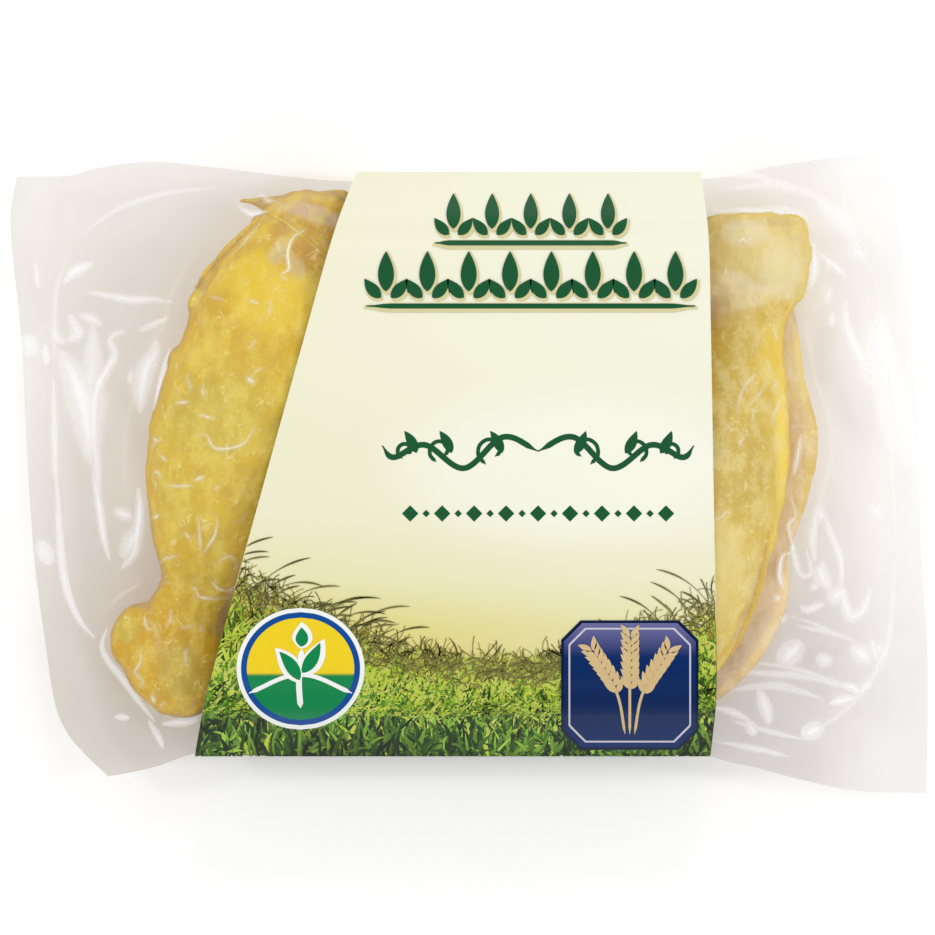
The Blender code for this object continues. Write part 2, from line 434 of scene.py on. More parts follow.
def skin_group() -> bpy.types.NodeTree:
    """Shared effect: the drawn-out mottling, fat and pores of raw poultry skin, and painted glints
    of the wet film on it.

    Returns:
        The group, which gives four masks and a height.
    """
    gives = {key: "Float" for key in ("Broad", "Fat", "Blush", "Glint", "Height")}
    takes = {"Place": "Vector", "Pore": "Float"}
    graph, source, sink = new_group("raw_skin", takes, gives)
    place = source.outputs["Place"]
    drawn = graph.stretched(place, SKIN_PULL, SKIN_TURN)
    blotch = graph.noise(drawn, BLOTCH_SCALE, 3.0)
    fleck = graph.noise(place, FLECK_SCALE)
    shares = graph.times(blotch, BLOTCH_SHARE), graph.times(fleck, 1 - BLOTCH_SHARE)
    fat = graph.maths("ADD", *shares)
    pores = {"Vector": place, "Scale": source.outputs["Pore"]}
    pore = graph.add("ShaderNodeTexVoronoi", pores).outputs["Distance"]
    rise = graph.minus(graph.times(fat, 1.1), graph.times(pore, 0.5))
    broad = graph.ease(graph.noise(place, BROAD_SCALE), 0.36, 0.64)
    graph.feed(sink.inputs["Broad"], broad)
    graph.feed(sink.inputs["Fat"], graph.ease(fat, 0.40, 0.66))
    graph.feed(sink.inputs["Blush"], graph.ease(graph.noise(drawn, BLUSH_SCALE), 0.48, 0.7))
    graph.feed(sink.inputs["Height"], rise)
    # Painted highlights: short pale glints and specks where the wet film clings to the skin
    wave = graph.minus(graph.noise(drawn, GLINT_STROKE_SCALE, 2.0, 0.5), 0.5)
    wave = graph.maths("ABSOLUTE", wave)
    short = graph.ease(graph.noise(place, GLINT_BREAK_SCALE, 1.0), 0.56, 0.66)
    glint_stroke = graph.times(graph.ease(wave, 0.022, 0.003), short)
    graph.feed(sink.inputs["Glint"], graph.maths("MAXIMUM", glint_stroke, graph.ease(fleck, 0.69, 0.75)))
    return graph.tree


class Shared:
    """The node groups that more than one material uses, each built once."""

    def __init__(self) -> None:
        """Builds the groups."""
        self.patch = patch_group()
        self.skin = skin_group()


@dataclass(frozen=True)
class Patch:
    """A soft patch of another colour on meat or skin, seen from above; the turn in degrees."""

    at: Spot
    reach: Spot
    colour: Rgb
    strength: float = 1.0
    turn: float = 0.0
    ragged: float = 1.1

    def mask(self, graph: Graph, shared: Shared, place: Socket, ragged: Any) -> Socket:
        """Masks the patch.

        Args:
            graph: the material's graph.
            shared: the shared node groups.
            place: the place on the piece.
            ragged: noise that frays the patch's edge, or 0.

        Returns:
            The mask.
        """
        inputs = {
            "Place": place,
            "Centre": (self.at[0] * MM, self.at[1] * MM, 0.0),
            "Reach": (self.reach[0] * MM, self.reach[1] * MM, 10.0),
            "Turn": math.radians(-self.turn),
            "Ragged": ragged,
            "Raggedness": self.ragged,
        }
        return graph.group(shared.patch, inputs).outputs["Mask"]


@dataclass(frozen=True)
class SkinFinish:
    """Raw, corn-yellow chicken skin with fat under it, pores and coloured places, painted glints,
    and sloping sides partly in painted shade.
    """

    name: str
    deep: Rgb
    fresh: Rgb
    fat: Rgb
    blush: Rgb
    # The colour of the sloping sides: partly skin seen edge-on, partly painted shade
    rim: Rgb
    fat_share: float = 0.75
    blush_share: float = 0.35
    roughness: float = 0.48
    pore: float = 430.0
    relief: float = 0.0004
    # The colour and share of the painted glints of the wet film on the skin
    glint: Rgb = (0.96, 0.85, 0.42)
    glint_share: float = 0.5
    patches: tuple[Patch, ...] = ()

    def material(self, shared: Shared) -> bpy.types.Material:
        """Makes the skin's material.

        Args:
            shared: the shared node groups.

        Returns:
            The material.
        """
        made, graph, shader = new_material(
            self.name, roughness=self.roughness, specular_ior_level=0.25
        )
        place = graph.place()
        skin = graph.group(shared.skin, {"Place": place, "Pore": self.pore}).outputs
        colour = graph.mix(skin["Broad"], self.deep, self.fresh)
        colour = graph.mix(graph.times(skin["Blush"], self.blush_share), colour, self.blush)
        ragged = graph.minus(graph.noise(place, 260.0, 2.0), 0.5)
        for patch in self.patches:
            mask = patch.mask(graph, shared, place, ragged)
            colour = graph.mix(graph.times(mask, patch.strength), colour, patch.colour)
        fat = graph.times(skin["Fat"], self.fat_share)
        colour = graph.mix(fat, colour, self.fat)
        # The sides, where the skin slopes away from the top, take the rim colour: partly the deeper
        # colour of skin seen edge-on, partly painted shade
        up = graph.split(graph.add("ShaderNodeTexCoord").outputs["Normal"])["Z"]
        side = graph.times(graph.ease(up, 0.7, 0.2), 0.8)
        colour = graph.mix(side, colour, self.rim)
        # Painted highlights: the glints are mixed into the skin's own colour
        glint = graph.times(skin["Glint"], self.glint_share)
        colour = graph.mix(glint, colour, self.glint)
        graph.feed(shader.inputs["Base Color"], colour)
        graph.rough(shader, skin["Height"], 0.5, self.relief)
        return made


@dataclass(frozen=True)
class FilmFinish:
    """Thin clear film: a faint warm veil when loose, clear on meat, with white painted highlights
    along its creases.
    """

    name: str = "clear_film"
    # The veil's tone and strength: warmer and heavier at the left, lighter at the right, which is
    # painted light from the right side; heavier again towards the bottom
    left: Rgb = (0.58, 0.51, 0.425)
    right: Rgb = (0.63, 0.565, 0.565)
    # Painted highlights: white along the creases, and pale yellow over the meat, which also tints
    # the faint veil where the film touches it
    pulled: Rgb = (0.99, 0.99, 1.0)
    meat_veil_and_highlight: Rgb = (1.0, 0.94, 0.62)
    veil_left: float = 0.175
    veil_right: float = 0.16
    rim_share: float = 0.5
    upper_left: float = 1.05
    upper_right: float = 0.95
    lower: float = 1.95
    touching: float = 0.03
    # How opaque the film is under a full painted highlight
    highlight_alpha: float = 0.98
    mirror: float = 0.14
    gloss: float = 0.33
    soft: float = 0.34
    crinkle: float = 0.0003

    def material(self) -> bpy.types.Material:
        """Makes the film's material and gives it back."""
        made, graph, shader = new_material(self.name)
        place = graph.place()
        tight = graph.add("ShaderNodeAttribute", attribute_name="tight").outputs["Fac"]
        gleam = graph.add("ShaderNodeAttribute", attribute_name="gleam").outputs["Fac"]
        split = graph.split(place)
        # Painted light: the veil is lighter and cooler towards the right, and thinner again at the
        # right rim; it is heavier towards the bottom
        right = graph.ease(split["X"], -0.08, 0.08)
        tone = graph.mix(right, self.left, self.right)
        # Painted highlights: along the creases the film turns white and nearly opaque, with no
        # mirror; where it touches the meat it takes the pale yellow
        highlight_and_tight_mask = graph.maths("MAXIMUM", graph.ease(gleam, 0.0, 0.07), tight)
        pulled = graph.mix(tight, self.pulled, self.meat_veil_and_highlight)
        graph.feed(shader.inputs["Base Color"], graph.mix(highlight_and_tight_mask, tone, pulled))
        graph.feed(shader.inputs["Metallic"], graph.scaled(highlight_and_tight_mask, self.mirror, 0.0))
        upper = graph.scaled(right, self.upper_left, self.upper_right)
        high = graph.between(graph.ease(split["Y"], 0.005, -0.062), upper, self.lower)
        veil = graph.times(graph.scaled(right, self.veil_left, self.veil_right), high)
        rim = graph.scaled(graph.ease(split["X"], 0.084, 0.104), 1.0, self.rim_share)
        veil = graph.between(tight, graph.times(veil, rim), self.touching)
        graph.feed(shader.inputs["Alpha"], graph.between(gleam, veil, self.highlight_alpha))
        graph.feed(shader.inputs["Roughness"], graph.scaled(tight, self.gloss, self.soft))
        drawn = graph.stretched(place, (1.0, 0.5, 1.0))
        soft = graph.times(graph.noise(drawn, 300.0, 2.0), graph.scaled(tight, 0.25, 1.0))
        graph.rough(shader, soft, 1.0, self.crinkle)
        return made


@dataclass(frozen=True)
class CardFinish:
    """Coated card: a pale evening sky printed over dark ground, on a plain white back."""

    name: str = "printed_card"
    sky: tuple[tuple[float, Rgb], ...] = (
        (-54, (0.68, 0.5, 0.06)),
        (-46, (0.72, 0.6, 0.12)),
        (-38, (0.74, 0.67, 0.19)),
        (-26, (0.82, 0.79, 0.46)),
        (-10, (0.87, 0.85, 0.61)),
        (35, (0.9, 0.89, 0.68)),
        (78, (0.89, 0.88, 0.66)),
    )
    ground: tuple[tuple[float, Rgb], ...] = (
        (-73, (0.006, 0.014, 0.004)),
        (-62, (0.016, 0.035, 0.006)),
        (-50, (0.07, 0.11, 0.01)),
        (-36, (0.18, 0.2, 0.03)),
    )
    glow_patch: Patch = Patch((28, 2), (46, 20), (0.97, 0.97, 0.88), 0.6, 0, 0)
    low_edge: float = -49.8
    lowest_at: float = 8.0
    rise: float = 0.0047
    roughness: float = 0.42
    weave: float = 0.00006
    glow_right: float = 0.35
    dapple: Rgb = (0.12, 0.20, 0.020)

    def ramp(self, graph: Graph, height: Socket, stops: Sequence[tuple[float, Rgb]]) -> Socket:
        """Colours a field by its height on the print.

        Args:
            graph: the material's graph.
            height: the height on the print, in metres.
            stops: heights in millimetres with their colours, from the lowest.

        Returns:
            The colour.
        """
        low, high = stops[0][0], stops[-1][0]
        inputs = {"Value": height, "From Min": low * MM, "From Max": high * MM}
        share = graph.add("ShaderNodeMapRange", inputs).outputs["Result"]
        node = graph.add("ShaderNodeValToRGB", {"Fac": share})
        band = node.color_ramp
        for place, colour in stops[1:-1]:
            band.elements.new((place - low) / (high - low)).color = (*colour, 1.0)
        band.elements[0].color = (*stops[0][1], 1.0)
        band.elements[-1].color = (*stops[-1][1], 1.0)
        return node.outputs["Color"]

    def material(self, shared: Shared) -> bpy.types.Material:
        """Makes the printed outside of the card.

        Args:
            shared: the shared node groups.

        Returns:
            The material.
        """
        made, graph, shader = new_material(
            self.name, roughness=self.roughness, specular_ior_level=0.15
        )
        place = graph.place()
        split = graph.split(place)
        sky = self.ramp(graph, split["Y"], self.sky)
        glow = self.glow_patch.mask(graph, shared, place, 0.0)
        right = graph.ease(split["X"], -0.06, 0.06)
        for share in (
            graph.times(glow, self.glow_patch.strength),
            graph.times(right, self.glow_right),
        ):
            sky = graph.mix(share, sky, self.glow_patch.colour)
        aside = graph.minus(split["X"], self.lowest_at * MM)
        lift = graph.times(graph.times(aside, aside), self.rise / MM)
        over = graph.minus(graph.minus(split["Y"], lift), self.low_edge * MM)
        over = graph.maths("ADD", over, graph.times(graph.noise(place, 330.0, 3.0), -0.006))
        field_mask = graph.ease(over, -0.0005, -0.0045)
        ground = self.ramp(graph, split["Y"], self.ground)
        dapple = graph.ease(graph.noise(place, 420.0, 3.0), 0.42, 0.62)
        ground = graph.mix(graph.times(dapple, 0.6), ground, self.dapple)
        graph.feed(shader.inputs["Base Color"], graph.mix(field_mask, sky, ground))
        graph.rough(shader, graph.noise(place, 900.0, 3.0), 0.25, self.weave)
        return made

    def back(self) -> bpy.types.Material:
        """Makes the plain inside and cut edge of the card."""
        made, graph, shader = new_material("card_back", roughness=0.75)
        place = graph.place()
        fibre = graph.noise(place, 1500.0, 4.0)
        colour = graph.mix(fibre, (0.80, 0.79, 0.75), (0.88, 0.87, 0.83))
        graph.feed(shader.inputs["Base Color"], colour)
        return made


@dataclass(frozen=True)
class InkFinish:
    """Printed ink whose colour is carried by the shapes themselves."""

    name: str = "printing_ink"
    roughness: float = 0.36

    def material(self) -> bpy.types.Material:
        """Makes the ink's material, which reads each shape's own colour."""
        made, graph, shader = new_material(
            self.name, roughness=self.roughness, specular_ior_level=0.08
        )
        ink = graph.add("ShaderNodeAttribute", attribute_name="ink").outputs["Color"]
        place = graph.place()
        shade = graph.scaled(graph.noise(place, 700.0, 2.0), 0.94, 1.04)
        graph.feed(shader.inputs["Base Color"], graph.mix(1.0, ink, shade, "MULTIPLY"))
        return made


# Contents


@dataclass(frozen=True)
class Swelling:
    """One rounded stretch of meat: place, reach across, height of its middle, half thickness."""

    x: float
    y: float
    reach: float
    height: float
    half: float


def swellings(*rows: tuple[float, ...]) -> tuple[Swelling, ...]:
    """Reads swellings from rows: x, y, reach, height and half thickness."""
    return tuple(Swelling(*row) for row in rows)


KNUCKLE_DOWN = swellings(
    (-82.8, -42.5, 9.8, 17, 9.5),
    (-73.3, -50.7, 11.9, 17.5, 12),
    (-73, -37.8, 10.6, 17.5, 11),
    (-67.9, -26.6, 11.3, 18, 11),
    (-62.7, -9.6, 19.5, 20, 16.5),
    (-57.1, 8.9, 24.8, 21.6, 20),
    (-48.8, 26, 26.2, 21.9, 20.4),
    (-44.6, 39.9, 24.4, 21.5, 19.8),
    (-40.7, 55.8, 17, 20, 13.5),
)
LEFT_CORNERS = swellings(
    (-67.3, 43.4, 5, 19, 9),
    (-68.9, 44.8, 3, 18.6, 6.5),
    (-67.2, 38.4, 5.2, 19, 10),
    (-70.6, 27.6, 6.8, 19.5, 10),
    (-64, 48.8, 5, 19, 8),
    (-52.6, 63.6, 3.6, 18.6, 6.5),
    (-85.2, -40.4, 6.8, 17, 7),
    (-81.6, -50, 7, 17, 8),
    (-84.6, -45.6, 6.2, 17, 7.5),
    (-77.6, -57.6, 4.2, 16.5, 7),
    (-71.5, -57.4, 4.6, 16.5, 7),
)
SKIN_TIP = swellings(
    (-58.6, 70.2, 0.6, 18.4, 0.6),
    (-55.4, 70, 1, 18.4, 0.8),
    (-51.5, 69.2, 2.2, 18.5, 1.1),
    (-46, 69, 3, 18.6, 1.6),
    (-40, 69.2, 3.4, 18.8, 2.2),
    (-33, 69.4, 3.6, 19, 2.8),
)
KNUCKLE_UP = swellings(
    (64.5, 53.5, 13.2, 17.5, 12),
    (74.5, 54, 12.5, 17.5, 11.5),
    (71.2, 43.5, 11.4, 17.5, 11.2),
    (68.6, 33.2, 12, 18, 11.3),
    (64.5, 19.1, 17, 20, 15.5),
    (58.9, 2.4, 22.5, 21.5, 19.5),
    (52.2, -14.2, 25.7, 21.9, 20.4),
    (46.6, -29.6, 26.1, 21.6, 19.8),
    (43.5, -43.8, 17.2, 20, 13.5),
)
RIGHT_CORNERS = swellings(
    (82.2, 62, 4.9, 17.2, 7),
    (83, 57, 4.9, 17.2, 8),
    (76, 61.6, 5.8, 17.4, 8),
    (66.5, 60.5, 6.4, 17.4, 8.5),
    (81, 48.5, 5.6, 17.4, 8),
)
LOOSE_SKIN = swellings(
    (80.2, 43.5, 2.8, 17, 1.4),
    (81.2, 36, 3.6, 17, 1.5),
    (80.6, 23, 6, 17, 1.7),
    (81.4, 8.5, 8.4, 16.9, 1.9),
    (78.6, -6, 8, 16.9, 1.9),
    (75.2, -20, 7, 16.8, 2.2),
    (74.6, -31, 7.4, 16.7, 2.6),
    (69.4, -42.5, 7.6, 16.5, 3),
    (61, -51.5, 7.2, 16.3, 3.2),
)
EDGE_PATH = ((-53, 67), (-50, 65.6), (-46.5, 63.4), (-42.5, 60.2), (-39, 57.2), (-36, 54.6))
RIM_PATH = ((-53.4, 65.4), (-58.4, 60.2), (-64.4, 54), (-70.4, 47.8))
FOLD_PATH = ((75.4, -14), (74.6, -20), (72.4, -29.5), (68.8, -39.5), (64.6, -50))
SECOND_FROM_FOURTH = -79.5
THIRD_FROM_FIRST = 77.7


@dataclass
class Drumstick:
    """A piece of meat in its skin, grown from rounded stretches along its length."""

    name: str
    swellings: Sequence[Swelling]
    corners: Sequence[Swelling] = ()
    along_x: float = 0.0
    stretches: int = 40
    grain: float = 0.62
    lump: float = 1.3
    lump_size: float = 8.0
    wrinkle: float = 0.4
    wrinkle_size: float = 3.2
    pimple: float = 0.14
    pimple_size: float = 1.9
    smoothing: float = 3.72

    def _body(self) -> Piece:
        """Lines up round primitives along the meat and makes one skin of them.

        Returns:
            The smooth body.
        """
        rows = even_curve(
            [(s.x + self.along_x, s.y, s.reach, s.height, s.half) for s in self.swellings],
            self.stretches,
        )
        corners = [(s.x, s.y, s.reach, s.height, s.half) for s in self.corners]
        balls = []
        for x, y, reach, height, half in [*rows, *corners]:
            start_fresh()
            bpy.ops.mesh.primitive_uv_sphere_add(
                segments=28, ring_count=16, radius=MM,
                location=(x * MM, y * MM, height * MM), scale=(reach, reach, half),
            )
            balls.append(bpy.context.object)
        body = joined(balls, self.name)
        settle(body)
        modified(body, "REMESH", mode="VOXEL", voxel_size=self.grain * MM)
        modified(body, "SMOOTH", factor=0.5, iterations=round(self.smoothing / self.grain))
        return body

    def _relief(self, body: Piece, kind: str, size: float, depth: float) -> None:
        """Raises and sinks the skin by a soft pattern.

        Args:
            body: the piece to change.
            kind: CLOUDS for lumps of fat, VORONOI for the pimples of plucked skin.
            size: the pattern's size in millimetres.
            depth: how far it moves the skin, in millimetres.
        """
        pattern = bpy.data.textures.new(f"{self.name}_{kind.lower()}", kind)
        pattern.noise_scale = size * MM
        settings = {"texture": pattern, "texture_coords": "LOCAL", "mid_level": 0.5}
        modified(body, "DISPLACE", strength=depth * MM, **settings)

    def build(self, finish: bpy.types.Material) -> Piece:
        """Builds the drumstick.

        Args:
            finish: its skin's material.

        Returns:
            The finished piece.
        """
        body = self._body()
        self._relief(body, "CLOUDS", self.lump_size, self.lump)
        if self.pimple:
            self._relief(body, "CLOUDS", self.wrinkle_size, self.wrinkle)
            self._relief(body, "VORONOI", self.pimple_size, -self.pimple)
        shade_smooth(body)
        dress(body, finish)
        return body


@dataclass
class SkinEdge:
    """The rolled edge of the skin, where it stops and bare meat begins."""

    name: str
    path: Sequence[Spot]
    thickness: float = 1.1
    steps: int = 60

    def build(self, under: Sequence[Piece], finish: bpy.types.Material) -> Piece:
        """Builds the edge on the meat that carries it.

        Args:
            under: the meat.
            finish: the edge's material.

        Returns:
            The finished piece.
        """
        meat = tree_of(under)
        points = even_curve(self.path, self.steps)
        start_fresh()
        bpy.ops.curve.primitive_nurbs_path_add()
        roll = named(self.name)
        roll.location = (0.0, 0.0, 0.0)
        roll.data.splines.clear()
        spline = roll.data.splines.new("POLY")
        spline.points.add(len(points) - 1)
        for n, (x, y) in enumerate(points):
            height = height_at(meat, x, y)
            height = FLANGE_HEIGHT if height is None else height
            spline.points[n].co = (x * MM, y * MM, height * MM, 1.0)
            spline.points[n].radius = 0.35 + 0.65 * math.sin(math.pi * n / (len(points) - 1))
        roll.data.bevel_depth = self.thickness / 2 * MM
        roll.data.bevel_resolution = 3
        roll.data.use_fill_caps = True
        pick(roll)
        bpy.ops.object.convert(target="MESH")
        roll = named(self.name)
        settle(roll)
        shade_smooth(roll)
        dress(roll, finish)
        return roll


# Film


@dataclass(frozen=True)
class Crease:
    """A ridge in the film along some spots: its height and width, and the strength of the painted
    highlight along it.
    """

    path: tuple[Spot, ...]
    rise: float
    width: float
    gleam: float


def crease_rows(*rows: tuple[float, ...]) -> tuple[Crease, ...]:
    """Reads creases from rows: rise, width and painted highlight, then x and y of each spot."""
    return tuple(Crease(tuple(zip(row[3::2], row[4::2])), *row[:3]) for row in rows)


